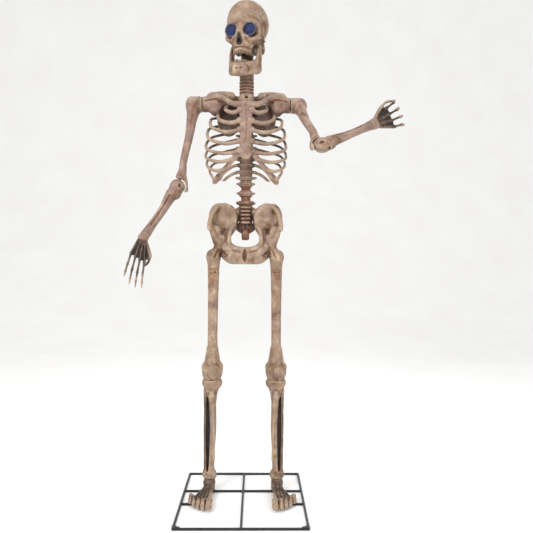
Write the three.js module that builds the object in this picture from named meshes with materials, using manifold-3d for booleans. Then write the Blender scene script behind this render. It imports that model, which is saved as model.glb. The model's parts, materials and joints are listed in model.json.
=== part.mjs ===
// Giant posable skeleton figure, standing on a flat steel-bar stand.
// +Z is up, the figure faces -Y, and its own left side is +X. The origin is under the crossing of the bars.

import * as THREE from "three";
import { mergeVertices } from "three/addons/utils/BufferGeometryUtils.js";
import Module from "manifold-3d";

const wasm = await Module();
wasm.setup();

// Clearances
const GAP = 0.3;                // between pieces that touch
const RUN = 1;                  // round a shaft that turns or slides in its bore
const SEAM = 1.2;               // visible seam between two mouldings
const OPEN_SEAM = 4;            // wide seam at the shoulder discs

// Stand
const BASE_HALF_WIDTH = 440;
const BASE_FRONT = 578;
const BASE_BACK = 336;
const BAR = 14;                 // square bar
const CORNER_BRACKET = 50;
const FOOT_BAR_BACK = 217;      // how far forward of the cross bar the foot bars lie
const POLE_RADIUS = 16;         // steel poles inside the legs and the spine
const POLE_FLANGE = 34;

// Legs
const ANKLE_X = 250;
const KNEE_X = 237;
const HIP_X = 233;
const ANKLE_Z = 110;
const KNEE_Z = 840;
const COLLAR_Z = 1663;
const HIP_TOP_Z = 1797;
const THIGH_RADIUS = 38;
const SHIN_RADIUS = 27;

// Trunk
const PELVIS_BOTTOM_Z = 1697;
const PELVIS_TOP_Z = 2150;
const PELVIS_HALF_WIDTH = 285;
const SPINE_Y = 50;
const LUMBAR_TOP_Z = 2325;
const CHEST_Y = 95;             // thoracic spine behind the breastbone
const CHEST_TOP_Z = 2985;
const STERNUM_Y = -180;
const STERNUM_TOP_Z = 2878;
const STERNUM_BOTTOM_Z = 2490;
const SPINE_RADIUS = 52;
const CHEST_SEAM_Y = -12;       // front and back mouldings of the chest meet here
const NECK_RADIUS = 55;
const NECK_TOP_Z = 3098;

// Arms
const SHOULDER_X = 327;
const SHOULDER_Z = 2881;
const SHOULDER_RADIUS = 56;
const AXLE_RADIUS = 15;
const UPPER_ARM = 639;          // shoulder to elbow pin
const FOREARM = 425;            // elbow pin to wrist seam
const ARM_LEAN = 16.45;         // upper arm leans out from the body, in degrees
const CARRY = 5.56;             // forearm leans forward out of the elbow's plane
const ELBOW_RADIUS = 58;
const ELBOW_HALF_DEPTH = 38;
const TONGUE = 24;              // thickness of the upper arm's tongue in the elbow fork
const ELBOW_PIN = 9;
const WRIST_RADIUS = 37;
const SPIGOT_RADIUS = 17;
const LEFT_SWING = 49.3;        // left arm raised forward
const LEFT_BEND = 105.66;
const RIGHT_BEND = 15.44;
const LEFT_TWIST = 130;
const PALM = 176;
const FINGER = 205;
const KNUCKLE_PITCH = 34;
const RELAXED = [4, 12, 16];    // finger bones of the hanging hand, in degrees towards the palm
const GRASPING = [38, 42, 40];

// Head
const HEAD_TURN = -23;         // degrees
const HEAD_NOD = 5;
const HEAD_TILT = 3;
const NECK_Y = 45;
const SKULL_HALF_WIDTH = 148;
const EYE_SPACING = 138;
const EYE_RADIUS = 43;
const JAW_Z = 205;
const JAW_Y = -28;
const JAW_HALF_WIDTH = 112;

const deg = (a) => THREE.MathUtils.degToRad(a);
const V = (x, y, z) => new THREE.Vector3(x, y, z);

const finish = {
  bone: { color: 0xb79f86, roughness: 0.62, metalness: 0 },
  stained: { color: 0xa0714a, roughness: 0.62, metalness: 0 },
  steel: { color: 0x15151c, roughness: 0.5, metalness: 0.3 },
  zinc: { color: 0x9a9a9a, roughness: 0.4, metalness: 0.9 },
  display: { color: 0x26335a, roughness: 0.2, metalness: 0 },
  trim: { color: 0x101014, roughness: 0.45, metalness: 0 },
};

// ---- solids -------------------------------------------------------------------------------------

function signedVolume(pos, tri) {
  const [a, b, c] = [V(0, 0, 0), V(0, 0, 0), V(0, 0, 0)];
  let sum = 0;
  for (let i = 0; i < tri.length; i += 3) {
    a.fromArray(pos, 3 * tri[i]);
    b.fromArray(pos, 3 * tri[i + 1]);
    c.fromArray(pos, 3 * tri[i + 2]);
    sum += a.dot(b.cross(c));
  }
  return sum;
}

// Welds a closed geometry and hands it to the boolean library, with its faces pointing out.
function solid(geometry) {
  const bare = geometry.clone();
  bare.deleteAttribute("normal");
  bare.deleteAttribute("uv");
  const welded = mergeVertices(bare, 1e-3);
  const pos = welded.attributes.position.array;
  const all = welded.index.array;
  const tri = [];
  for (let i = 0; i < all.length; i += 3) {
    const [a, b, c] = [all[i], all[i + 1], all[i + 2]];
    if (a !== b && b !== c && c !== a) tri.push(a, b, c);
  }
  if (signedVolume(pos, tri) < 0) tri.reverse();
  return new wasm.Manifold(new wasm.Mesh({
    numProp: 3, vertProperties: new Float32Array(pos), triVerts: new Uint32Array(tri),
  }));
}

function geometryOf(manifold) {
  const mesh = manifold.getMesh();
  const g = new THREE.BufferGeometry();
  g.setAttribute("position", new THREE.BufferAttribute(new Float32Array(mesh.vertProperties), 3));
  g.setIndex(new THREE.BufferAttribute(new Uint32Array(mesh.triVerts), 1));
  return g;
}

// The same geometry for the other side of the body.
function mirrored(geometry) {
  const g = geometry.clone();
  g.scale(-1, 1, 1);
  g.setIndex(Array.from(g.index.array).reverse());
  return g;
}

const join = (...parts) => parts.flat().reduce((a, b) => a.add(b));

function ball(centre, radii, turn = V(0, 0, 0), around = 12, down = 8) {
  const g = new THREE.SphereGeometry(1, around, down);
  g.scale(radii.x, radii.y, radii.z);
  g.applyMatrix4(new THREE.Matrix4().makeRotationFromEuler(
    new THREE.Euler(deg(turn.x), deg(turn.y), deg(turn.z))));
  g.translate(centre.x, centre.y, centre.z);
  return solid(g);
}

function block(low, high) {
  const g = new THREE.BoxGeometry(high.x - low.x, high.y - low.y, high.z - low.z);
  g.translate((low.x + high.x) / 2, (low.y + high.y) / 2, (low.z + high.z) / 2);
  return solid(g);
}

function rod(from, to, radius, endRadius = radius, around = 12) {
  const along = to.clone().sub(from);
  const g = new THREE.CylinderGeometry(endRadius, radius, along.length(), around);
  g.translate(0, along.length() / 2, 0);
  g.applyQuaternion(new THREE.Quaternion().setFromUnitVectors(V(0, 1, 0), along.normalize()));
  g.translate(from.x, from.y, from.z);
  return solid(g);
}

// A bone: a lathed bar whose radius follows `radii`, bent along a smooth curve through `points`.
// `flat` squashes it along `up`, as on a rib.
function bone(points, radii, { around = 8, steps = 10, flat = 1, up = V(0, -1, 0) } = {}) {
  const curve = new THREE.CatmullRomCurve3(points, false, "centripetal");
  const radiusAt = (u) => {
    const k = Math.min(u * (radii.length - 1), radii.length - 1.001);
    const i = Math.floor(k);
    return THREE.MathUtils.lerp(radii[i], radii[i + 1], k - i);
  };
  const profile = [new THREE.Vector2(0, 0)];
  for (let i = 0; i <= steps; i++) profile.push(new THREE.Vector2(radiusAt(i / steps), i / steps));
  profile.push(new THREE.Vector2(0, 1));
  const g = new THREE.LatheGeometry(profile, around);
  const pos = g.attributes.position;
  for (let i = 0; i < pos.count; i++) {
    const u = THREE.MathUtils.clamp(pos.getY(i), 0, 1);
    const tangent = curve.getTangentAt(u);
    const across = up.clone().cross(tangent).normalize();
    const raised = tangent.clone().cross(across);
    const p = curve.getPointAt(u)
      .addScaledVector(across, pos.getX(i))
      .addScaledVector(raised, pos.getZ(i) * flat);
    pos.setXYZ(i, p.x, p.y, p.z);
  }
  return solid(g);
}

// A turned column standing on Z: pairs of height and radius.
function column(x, y, profile, around = 16) {
  const points = profile.map(([z, r]) => new THREE.Vector2(r, z));
  points.unshift(new THREE.Vector2(0, profile[0][0]));
  points.push(new THREE.Vector2(0, profile[profile.length - 1][0]));
  const g = new THREE.LatheGeometry(points, around);
  g.rotateX(Math.PI / 2);
  g.translate(x, y, 0);
  return solid(g);
}

function upright(x, y, low, high, radius, around = 10) {
  return rod(V(x, y, low), V(x, y, high), radius, radius, around);
}
const slab = (low, high) => block(V(-1000, -1000, low), V(1000, 1000, high));
const bothSides = (make) => [make(1), make(-1)];

// ---- stand --------------------------------------------------------------------------------------

function bar(x0, y0, x1, y1) {
  return block(V(x0, y0, 0), V(x1, y1, BAR));
}

function sideBar(side) {
  const inner = side * (BASE_HALF_WIDTH - BAR);
  const outer = side * BASE_HALF_WIDTH;
  return bar(Math.min(inner, outer), -BASE_FRONT, Math.max(inner, outer), BASE_BACK);
}

function endBar(y) {
  const reach = BASE_HALF_WIDTH - BAR - GAP;
  return bar(-reach, y, reach, y + BAR);
}

function crossBar() {
  const reach = BASE_HALF_WIDTH - BAR - GAP;
  return bar(-reach, -BAR / 2, reach, BAR / 2);
}

function centreBar(front) {
  const near = BAR / 2 + GAP;
  return front
    ? bar(-BAR / 2, -BASE_FRONT + BAR + GAP, BAR / 2, -near)
    : bar(-BAR / 2, near, BAR / 2, BASE_BACK - BAR - GAP);
}

function footBar(side) {
  const outer = side * (BASE_HALF_WIDTH - BAR - GAP);
  const inner = side * (ANKLE_X - 20);
  const y = -FOOT_BAR_BACK;
  return bar(Math.min(inner, outer), y - BAR / 2, Math.max(inner, outer), y + BAR / 2);
}

function cornerBracket(side) {
  const x = side * (BASE_HALF_WIDTH - CORNER_BRACKET);
  const outer = side * BASE_HALF_WIDTH;
  const plate = block(
    V(Math.min(x, outer), -BASE_FRONT, BAR + GAP),
    V(Math.max(x, outer), -BASE_FRONT + CORNER_BRACKET, BAR + 6));
  const inner = -BASE_FRONT + CORNER_BRACKET;
  const notch = rod(V(x, inner, 0), V(x, inner, 40), CORNER_BRACKET - BAR);
  return plate.subtract(notch);
}

// A leg's pole rises straight from the cross bar, through foot, shin, knee and thigh to the pelvis.
const LEG_POLE_X = 243;

function legPole() {
  const flange = upright(LEG_POLE_X, 0, BAR + GAP, BAR + 6, POLE_FLANGE, 16);
  return join(flange, upright(LEG_POLE_X, 0, BAR + 4, HIP_TOP_Z - 20, POLE_RADIUS));
}

const poleBore = (side = 1) => upright(side * LEG_POLE_X, 0, -10, HIP_TOP_Z - 20 + GAP, POLE_RADIUS + GAP);

// ---- legs ---------------------------------------------------------------------------------------

function foot() {
  const sole = BAR + GAP;
  const toes = [
    { x: 228, y: -338, r: 23 }, { x: 273, y: -322, r: 17 }, { x: 309, y: -300, r: 16 },
    { x: 342, y: -266, r: 15 }, { x: 372, y: -228, r: 15 },
  ];
  const rays = toes.map(({ x, y, r }, i) => bone(
    [V(240 + 9 * i, -50, 62 - 5 * i), V((x + 235 + 12 * i) / 2, (y - 60) / 2, 50), V(x, y + 70, sole + r + 9),
      V(x - 2, y + 14, sole + r), V(x - 2, y, sole + r - 3)],
    [20, 15, 13, r * 0.95, r, r * 0.55], { up: V(0, 0, 1), steps: 5, around: 5 }));
  const heel = ball(V(252, 48, 56), V(42, 52, 44), V(0, 0, 0), 10, 6);
  const instep = ball(V(256, -30, 66), V(50, 78, 46), V(0, 0, 0), 10, 6);
  const collar = upright(LEG_POLE_X + 6, 0, 60, ANKLE_Z - SEAM, 41, 16);
  const whole = join(heel, instep, collar, ...rays);
  const clearFloor = block(V(0, -700, -50), V(600, 300, sole));
  const flange = upright(LEG_POLE_X, 0, 0, BAR + 6 + GAP, POLE_FLANGE + 2, 16);
  return whole.subtract(clearFloor).subtract(poleBore()).subtract(flange);
}

function shin() {
  const tibia = bone(
    [V(249, 0, ANKLE_Z + SEAM), V(240, 0, 260), V(233, -4, 500), V(236, -2, 700),
      V(KNEE_X, 4, KNEE_Z - SEAM)],
    [38, 30, SHIN_RADIUS, SHIN_RADIUS + 1, 34, 58, 66], { around: 8, steps: 9 });
  const fibula = bone(
    [V(272, 8, ANKLE_Z + 14), V(284, 8, 300), V(284, 10, 560), V(272, 8, 750)],
    [24, 17, 14, 14, 18, 24], { steps: 6, around: 6 });
  const web = block(V(238, 2, 140), V(288, 12, 740));
  const core = upright(LEG_POLE_X, 0, ANKLE_Z + SEAM, KNEE_Z - SEAM, POLE_RADIUS + 5);
  const whole = join(tibia, fibula, web, core).intersect(slab(ANKLE_Z + SEAM, KNEE_Z - SEAM));
  return whole.subtract(poleBore());
}

function thigh() {
  const shaft = bone(
    [V(KNEE_X, 0, KNEE_Z), V(KNEE_X, -4, 960), V(236, -8, 1200), V(234, -6, 1450), V(HIP_X, 0, COLLAR_Z)],
    [60, 64, 46, THIGH_RADIUS, THIGH_RADIUS - 1, THIGH_RADIUS, 42, 46], { around: 8, steps: 10 });
  const condyles = bothSides(
    (s) => ball(V(KNEE_X + s * 34, 6, KNEE_Z + 62), V(44, 56, 66), V(0, 0, 0), 8, 6));
  const core = upright(LEG_POLE_X, 0, KNEE_Z, COLLAR_Z, POLE_RADIUS + 5);
  const whole = join(shaft, ...condyles, core).intersect(slab(KNEE_Z, COLLAR_Z - SEAM));
  return whole.subtract(poleBore()).subtract(kneecap(GAP));
}

function kneecap(grow = 0) {
  const centre = V(KNEE_X - 8, -62, KNEE_Z + 62);
  const cap = ball(centre, V(45 + grow, 26 + grow, 56 + grow), V(0, 0, 0), 10, 6);
  return cap.subtract(block(V(0, -40 + grow, 0), V(600, 200, 2000)));
}

// ---- pelvis and spine ---------------------------------------------------------------------------

const spineBore = (grow = GAP) => upright(0, SPINE_Y, 1890, 2480, POLE_RADIUS + grow);

function spinePole() {
  return upright(0, SPINE_Y, 1895, 2475, POLE_RADIUS);
}

function hipBone(side) {
  const at = (x, y, z) => V(side * x, y, z);
  const wing = ball(at(168, 30, 2045), V(122, 24, 112), V(-14, 0, side * -28), 10, 6);
  const crest = bone(
    [at(78, 88, 2085), at(120, 70, 2135), at(175, 35, PELVIS_TOP_Z - 16), at(232, -12, 2105),
      at(262, -50, 2020),
      at(258, -62, 1965)],
    [13, 16, 17, 17, 18, 15], { up: V(0, -1, 0.2), steps: 6, around: 6 });
  const socket = ball(at(178, -4, 1868), V(62, 54, 60), V(0, 0, 0), 10, 6);
  const neckOfWing = bone(
    [at(84, 80, 2030), at(120, 60, 1960), at(165, 10, 1880)], [34, 32, 40], { steps: 3, around: 6 });
  const spur = bone(
    [at(252, -58, 1975), at(228, -34, 1915), at(196, -10, 1870)], [14, 22, 34], { steps: 3, around: 6 });
  const pubis = bone(
    [at(178, -20, 1872), at(130, -62, 1830), at(70, -92, 1785), at(0, -98, 1765)],
    [40, 34, 38, 44], { steps: 4, flat: 0.75, around: 6 });
  const sitBone = bone(
    [at(178, 20, 1850), at(168, 30, 1780), at(140, 0, 1735), at(90, -60, 1727), at(0, -92, 1735)],
    [38, 32, 32, 32, 38], { steps: 5, flat: 0.8, around: 6 });
  return join(wing, crest, socket, neckOfWing, spur, pubis, sitBone);
}

// The top of the thigh bone is moulded in one with the pelvis, down to the collar seam.
function thighHead(side) {
  const at = (x, y, z) => V(side * x, y, z);
  const stem = bone(
    [at(HIP_X, 0, COLLAR_Z), at(HIP_X + 2, 0, 1720), at(HIP_X + 6, 0, HIP_TOP_Z - 8)],
    [44, 48, 56, 54, 34], { around: 10, steps: 5 });
  const trochanter = ball(at(HIP_X + 12, 8, 1745), V(36, 36, 48), V(0, 0, 0), 8, 6);
  const neckOfThigh = bone([at(176, -4, 1858), at(206, -2, 1810), at(HIP_X + 6, 2, 1752)], [44, 36, 42],
    { around: 6, steps: 3 });
  return join(stem, trochanter, neckOfThigh).intersect(slab(COLLAR_Z, HIP_TOP_Z + 60));
}

function pelvis() {
  const sole = block(V(-150, -300, 1500), V(150, 300, PELVIS_BOTTOM_Z));
  const limits = block(V(-PELVIS_HALF_WIDTH, -300, 0), V(PELVIS_HALF_WIDTH, 300, PELVIS_TOP_Z));
  const whole = join(...bothSides(hipBone), ...bothSides(thighHead)).intersect(limits).subtract(sole);
  return whole.subtract(sacrum(GAP)).subtract(poleBore(1)).subtract(poleBore(-1));
}

// The sacrum narrows downwards to its tip and carries the spine pole.
function sacrum(grow = 0) {
  const body = bone(
    [V(0, SPINE_Y + 2, PELVIS_TOP_Z - 6), V(0, SPINE_Y + 10, 2060), V(0, SPINE_Y + 14, 1960),
      V(0, SPINE_Y - 6, 1880)],
    [60 + grow, 88 + grow, 66 + grow, 36 + grow, 16 + grow], { steps: 8, flat: 0.62, around: 10 });
  const cut = body.intersect(slab(1800, PELVIS_TOP_Z - 6 + grow));
  return grow > 0 ? cut : cut.subtract(spineBore());
}

function lumbarSpine() {
  const low = PELVIS_TOP_Z - 6 + GAP;
  const body = column(0, SPINE_Y, [
    [low, 60], [low + 12, 72], [low + 26, 50], [low + 40, 34], [low + 56, 38], [low + 68, 66], [low + 86, 71],
    [low + 102, 62], [low + 114, 46], [low + 126, 60], [low + 142, 71], [low + 160, 66],
    [LUMBAR_TOP_Z - GAP, 50],
  ]);
  const wings = bone(
    [V(-79, SPINE_Y, 2163), V(-40, SPINE_Y, 2160), V(40, SPINE_Y, 2160), V(79, SPINE_Y, 2163)],
    [7, 9, 12, 9, 7], { up: V(0, 0, 1), steps: 6 });
  return join(body, wings).subtract(spineBore());
}

function neck(grow = 0) {
  const body = column(0, NECK_Y, [
    [CHEST_TOP_Z - 40 - grow, 44 + grow], [CHEST_TOP_Z - 30, 50 + grow],
    [CHEST_TOP_Z + 25, NECK_RADIUS + grow],
    [CHEST_TOP_Z + 60, NECK_RADIUS + 2 + grow], [NECK_TOP_Z - SEAM, NECK_RADIUS - 3 + grow],
  ], 12);
  return join(body, upright(0, NECK_Y, NECK_TOP_Z - 20, NECK_TOP_Z + 60, AXLE_RADIUS));
}

// ---- chest --------------------------------------------------------------------------------------

// Each rib: height at the breastbone, height and half width at the side, height at the spine.
const RIBS = [
  { front: 2794, side: 2868, half: 165, back: 2930, thick: 17 },
  { front: 2719, side: 2810, half: 222, back: 2890, thick: 17 },
  { front: 2653, side: 2761, half: 279, back: 2845, thick: 15 },
  { front: 2571, side: 2676, half: 301, back: 2790, thick: 15 },
  { front: 2500, side: 2583, half: 309, back: 2725, thick: 15 },
  { front: 2440, side: 2508, half: 311, back: 2660, thick: 14 },
  { front: 2375, side: 2447, half: 303, back: 2590, thick: 14 },
  { front: 2318, side: 2393, half: 281, back: 2520, thick: 14 },
];
const COSTAL_RIBS = 5;          // ribs past this count end on the costal margin
const FLOATING_RIB_TOPS = [2461, 2404];

function marginPoint(z) {
  const u = (STERNUM_BOTTOM_Z + 10 - z) / (STERNUM_BOTTOM_Z + 10 - 2291);
  return V(42 + 190 * u, STERNUM_Y + 8 + 105 * u, z);
}

function rib({ front, side, half, back, thick }, index, s) {
  const end = index < COSTAL_RIBS ? V(38, STERNUM_Y, front) : marginPoint(front + 8);
  const points = [
    V(24, CHEST_Y + 12, back), V(half * 0.5, CHEST_Y + 58, back - 22),
    V(half * 0.86, CHEST_Y + 18, (back + side) / 2 + 8),
    V(half - thick, -6, side), V(half * 0.86, -98, side * 0.35 + front * 0.65 - 6), end];
  return bone(
    points.map((p) => V(s * p.x, p.y, p.z)), [thick, thick, thick, thick, thick * 1.1, thick * 1.15],
    { around: 4, steps: 7, flat: 0.8, up: V(0, 0, 1) });
}

function floatingRib(top, s) {
  return bone(
    [V(s * 20, CHEST_Y, top), V(s * 110, CHEST_Y + 14, top - 22), V(s * 172, CHEST_Y - 10, top - 78),
      V(s * 196, CHEST_Y - 40, top - 140)],
    [13, 12, 11, 10, 9], { around: 5, steps: 4, flat: 0.75 });
}

function costalMargin(s) {
  const down = [2500, 2430, 2360, 2291].map((z) => marginPoint(z)).map((p) => V(s * p.x, p.y, p.z));
  return bone(
    [V(s * 10, STERNUM_Y, 2512), ...down], [24, 24, 22, 20, 24, 17], { around: 5, steps: 6, flat: 0.55 });
}

function shoulderGirdle(s) {
  const at = (x, y, z) => V(s * x, y, z);
  const socket = bone(
    [at(SHOULDER_X - OPEN_SEAM / 2, 0, SHOULDER_Z), at(270, 0, SHOULDER_Z + 4), at(196, 2, SHOULDER_Z + 14)],
    [SHOULDER_RADIUS, SHOULDER_RADIUS, 58, 52, 34], { around: 12, steps: 5 });
  const clavicle = bone(
    [at(250, -16, 2925), at(190, -50, 2925), at(120, -120, 2862), at(70, -158, 2848),
      at(20, STERNUM_Y + 8, 2850)],
    [28, 30, 24, 20, 22, 24], { steps: 7, flat: 0.9, around: 6 });
  const bladeSpine = bone(
    [at(250, 16, 2925), at(180, 60, 2942), at(110, 95, 2950), at(20, CHEST_Y, 2950)],
    [26, 30, 30, 30, 34], { steps: 5, flat: 0.9, around: 6 });
  const blade = bone(
    [at(205, 62, 2925), at(182, 118, 2850), at(160, 138, 2765), at(150, 134, 2705)],
    [44, 78, 84, 62, 26], { around: 8, steps: 5, flat: 0.2 });
  return join(socket, clavicle, bladeSpine, blade);
}

function thoracicColumn() {
  return bone(
    [V(0, SPINE_Y + 2, LUMBAR_TOP_Z), V(0, SPINE_Y + 6, 2440), V(0, CHEST_Y, 2640), V(0, CHEST_Y, 2800),
      V(0, NECK_Y + 14, CHEST_TOP_Z - 40)],
    [SPINE_RADIUS - 4, SPINE_RADIUS, SPINE_RADIUS + 2, SPINE_RADIUS, SPINE_RADIUS], { around: 10, steps: 9 });
}

function breastbone() {
  return bone(
    [V(0, STERNUM_Y + 22, STERNUM_TOP_Z), V(0, STERNUM_Y + 8, 2820), V(0, STERNUM_Y, 2660),
      V(0, STERNUM_Y, STERNUM_BOTTOM_Z)],
    [34, 50, 46, 44, 42, 44, 46], { around: 8, steps: 10, flat: 0.42 });
}

function shoulderAxle(s, grow = 0) {
  return rod(V(s * 230, 0, SHOULDER_Z), V(s * (SHOULDER_X + 52 + grow), 0, SHOULDER_Z), AXLE_RADIUS + grow);
}

// The chest is two mouldings that meet at the sides: breastbone and rib fronts, spine and rib backs.
function chestMoulding(front) {
  const cage = bothSides((s) => join(...RIBS.map((r, i) => rib(r, i, s)), shoulderGirdle(s)));
  const seam = CHEST_SEAM_Y + (front ? -GAP / 2 : GAP / 2);
  const side = SHOULDER_X - OPEN_SEAM / 2;
  const half = front
    ? block(V(-side, -600, LUMBAR_TOP_Z - 60), V(side, seam, 3400))
    : block(V(-side, seam, LUMBAR_TOP_Z), V(side, 600, 3400));
  const floating = FLOATING_RIB_TOPS.flatMap((top) => bothSides((s) => floatingRib(top, s)));
  const middle = front
    ? [breastbone(), ...bothSides(costalMargin)]
    : [thoracicColumn(), neckSocket(), ...floating];
  const axles = join(...bothSides((s) => shoulderAxle(s, GAP)));
  return join(...cage, ...middle).intersect(half).subtract(axles).subtract(spineBore()).subtract(neck(GAP));
}

const neckSocket = () => upright(0, NECK_Y, CHEST_TOP_Z - 110, CHEST_TOP_Z - 45, 62, 12);

// ---- arms ---------------------------------------------------------------------------------------
// Upper arm: origin at the shoulder disc's centre, hanging. Forearm: origin at the elbow pin, pointing
// down. Hand: origin at the wrist seam, pointing down, palm to the back and thumb inwards.

const elbowAt = V(Math.sin(deg(ARM_LEAN)) * UPPER_ARM, 0, -Math.cos(deg(ARM_LEAN)) * UPPER_ARM);

// A wedge of the ring round the elbow pin: the only place where the full-depth upper arm may end.
function elbowRing(radius, half) {
  return rod(V(0, -half, 0), V(0, half, 0), radius, radius, 24).translate([elbowAt.x, 0, elbowAt.z]);
}

function upperArm() {
  const lean = V(-elbowAt.x, 0, -elbowAt.z).normalize();
  const out = V(lean.z, 0, -lean.x);
  const fromElbow = (up, sideways, y = 0) => elbowAt.clone()
    .addScaledVector(lean, up).addScaledVector(out, sideways).add(V(0, y, 0));
  const head = bone(
    [V(OPEN_SEAM / 2, 0, 0), V(50, 0, -2), V(88, 0, -14)], [SHOULDER_RADIUS, 60, 62, 36],
    { around: 12, steps: 4 });
  const shaft = bone(
    [V(56, 0, 14), V(72, 0, -80), V(98, 0, -240), V(136, -4, -420), fromElbow(82, -4), fromElbow(30, -10)],
    [46, 50, 36, 30, 27, 25, 25, 27, 28], { around: 8, steps: 9 });
  const knob = ball(fromElbow(4, -56), V(20, 26, 24), V(0, 0, 0), 8, 6);
  const flare = bone([fromElbow(96, -14), fromElbow(50, -38), fromElbow(6, -54)], [22, 24, 22], { steps: 4 });
  const tongue = rod(V(0, -TONGUE / 2, 0), V(0, TONGUE / 2, 0), ELBOW_RADIUS - 4, ELBOW_RADIUS - 4, 24)
    .translate([elbowAt.x, 0, elbowAt.z]);
  const stem = bone([fromElbow(20, 0), fromElbow(80, -2)], [TONGUE / 2 - 1, TONGUE / 2], { steps: 3 });
  const body = join(head, shaft, knob, flare).subtract(elbowRing(ELBOW_RADIUS + SEAM, 80));
  const pinHole = rod(V(0, -60, 0), V(0, 60, 0), ELBOW_PIN + RUN).translate([elbowAt.x, 0, elbowAt.z]);
  const axleHole = rod(V(-2, 0, 0), V(52 + GAP, 0, 0), AXLE_RADIUS + RUN);
  const buttonHole = rod(V(26, 0, 20), V(26, 0, 90), 8 + RUN, 8 + RUN, 12);
  const face = block(V(OPEN_SEAM / 2, -200, -900), V(900, 200, 200));
  return join(body, tongue, stem).intersect(face).subtract(pinHole).subtract(axleHole).subtract(buttonHole);
}

function shoulderButton() {
  return rod(V(26, 0, 34), V(26, 0, 59), 8, 8, 12);
}

const wristAt = V(0, -Math.sin(deg(CARRY)) * FOREARM, -Math.cos(deg(CARRY)) * FOREARM);

// A block below or above the wrist seam, square to the leaning forearm.
function beyondWrist(from, to) {
  const g = new THREE.BoxGeometry(400, 400, to - from);
  g.translate(0, 0, -(from + to) / 2);
  g.rotateX(-deg(CARRY));
  return solid(g);
}

function forearm() {
  const along = (u, x = 0) => V(x, wristAt.y * u, wristAt.z * u);
  const shaft = bone(
    [along(0.02, 4), along(0.2, 2), along(0.55, -6), along(0.8, -4), along(1.01)],
    [46, 44, 37, 28, 26, 27, 34, WRIST_RADIUS], { around: 8, steps: 8, flat: 0.8 });
  const cheeks = rod(V(0, -ELBOW_HALF_DEPTH, 0), V(0, ELBOW_HALF_DEPTH, 0), ELBOW_RADIUS, ELBOW_RADIUS, 24);
  const tuber = ball(V(-38, -4, -62), V(22, 26, 34), V(0, 0, 0), 8, 6);
  const slotHalf = TONGUE / 2 + GAP;
  const slot = rod(V(0, -slotHalf, 0), V(0, slotHalf, 0), ELBOW_RADIUS + 4, ELBOW_RADIUS + 4, 24);
  const pinHole = rod(V(0, -60, 0), V(0, 60, 0), ELBOW_PIN + RUN);
  const spigotHole = rod(along(0.88), along(1.05), SPIGOT_RADIUS + RUN);
  const belowPin = shaft.intersect(block(V(-200, -200, -900), V(200, 200, 20)));
  const whole = join(cheeks, belowPin, tuber).subtract(slot).subtract(pinHole).subtract(spigotHole);
  return whole.subtract(beyondWrist(FOREARM - SEAM / 2, FOREARM + 200));
}

function elbowPin() {
  return rod(V(0, -ELBOW_HALF_DEPTH + 3, 0), V(0, ELBOW_HALF_DEPTH - 3, 0), ELBOW_PIN);
}

// Finger joints: each bone turns further towards the palm than the last, by the angles in `curl`.
function fingerLine(x, spread, length, curl) {
  const line = [V(x * 0.5, 0, -58), V(x * 0.9, -4, -120), V(x, 0, -PALM)];
  let [angle, at] = [0, V(x, 0, -PALM)];
  [0.45, 0.32, 0.23].forEach((share, i) => {
    angle += deg(curl[i]);
    const run = length * share;
    at = at.clone().add(V(spread * share, Math.sin(angle) * run, -Math.cos(angle) * run));
    line.push(at);
  });
  return line;
}

function hand(curl, thumbTip) {
  const top = -SEAM / 2;
  const wrist = bone(
    [V(0, 0, top), V(0, 0, -30), V(0, 2, -70)], [WRIST_RADIUS - 2, 40, 44], { steps: 4, flat: 0.8 });
  const spigot = rod(V(0, 0, 40), V(0, 0, -10), SPIGOT_RADIUS, SPIGOT_RADIUS, 12);
  const palmWeb = ball(V(0, 4, -112), V(56, 12, 78), V(0, 0, 0), 8, 6);
  const fingers = [-1.5, -0.5, 0.5, 1.5].map((k, i) => bone(
    fingerLine(KNUCKLE_PITCH * k, 13 * k, FINGER * [0.86, 0.98, 1, 0.84][i], curl),
    [13, 11, 15, 10, 12, 8, 6], { around: 5, steps: 8, up: V(1, 0, 0.01) }));
  const thumb = bone(
    [V(-22, 2, -34), V(-52, 12, -76), V(-68, 20, -122), ...thumbTip],
    [16, 13, 14, 11, 7], { around: 5, steps: 7, up: V(0, 1, 0.01) });
  return join(wrist, spigot, palmWeb, ...fingers, thumb);
}

// ---- head ---------------------------------------------------------------------------------------
// Origin at the top of the neck, face to -Y.

const CRANIUM_CENTRE = V(0, 8, 398);
const EYE_Y = -152;
const EYE_Z = 300;

function eyeAt(s) {
  return V(s * EYE_SPACING / 2, EYE_Y, EYE_Z);
}

function socketBore(s, radius, depth) {
  const c = eyeAt(s);
  return rod(V(c.x, c.y + depth, c.z), V(c.x, -320, c.z), radius, radius, 16);
}

// The neck stays upright under a head that nods and tilts.
const uprighted = (shape) => shape.rotate([-HEAD_NOD, -HEAD_TILT, 0]);

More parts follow.
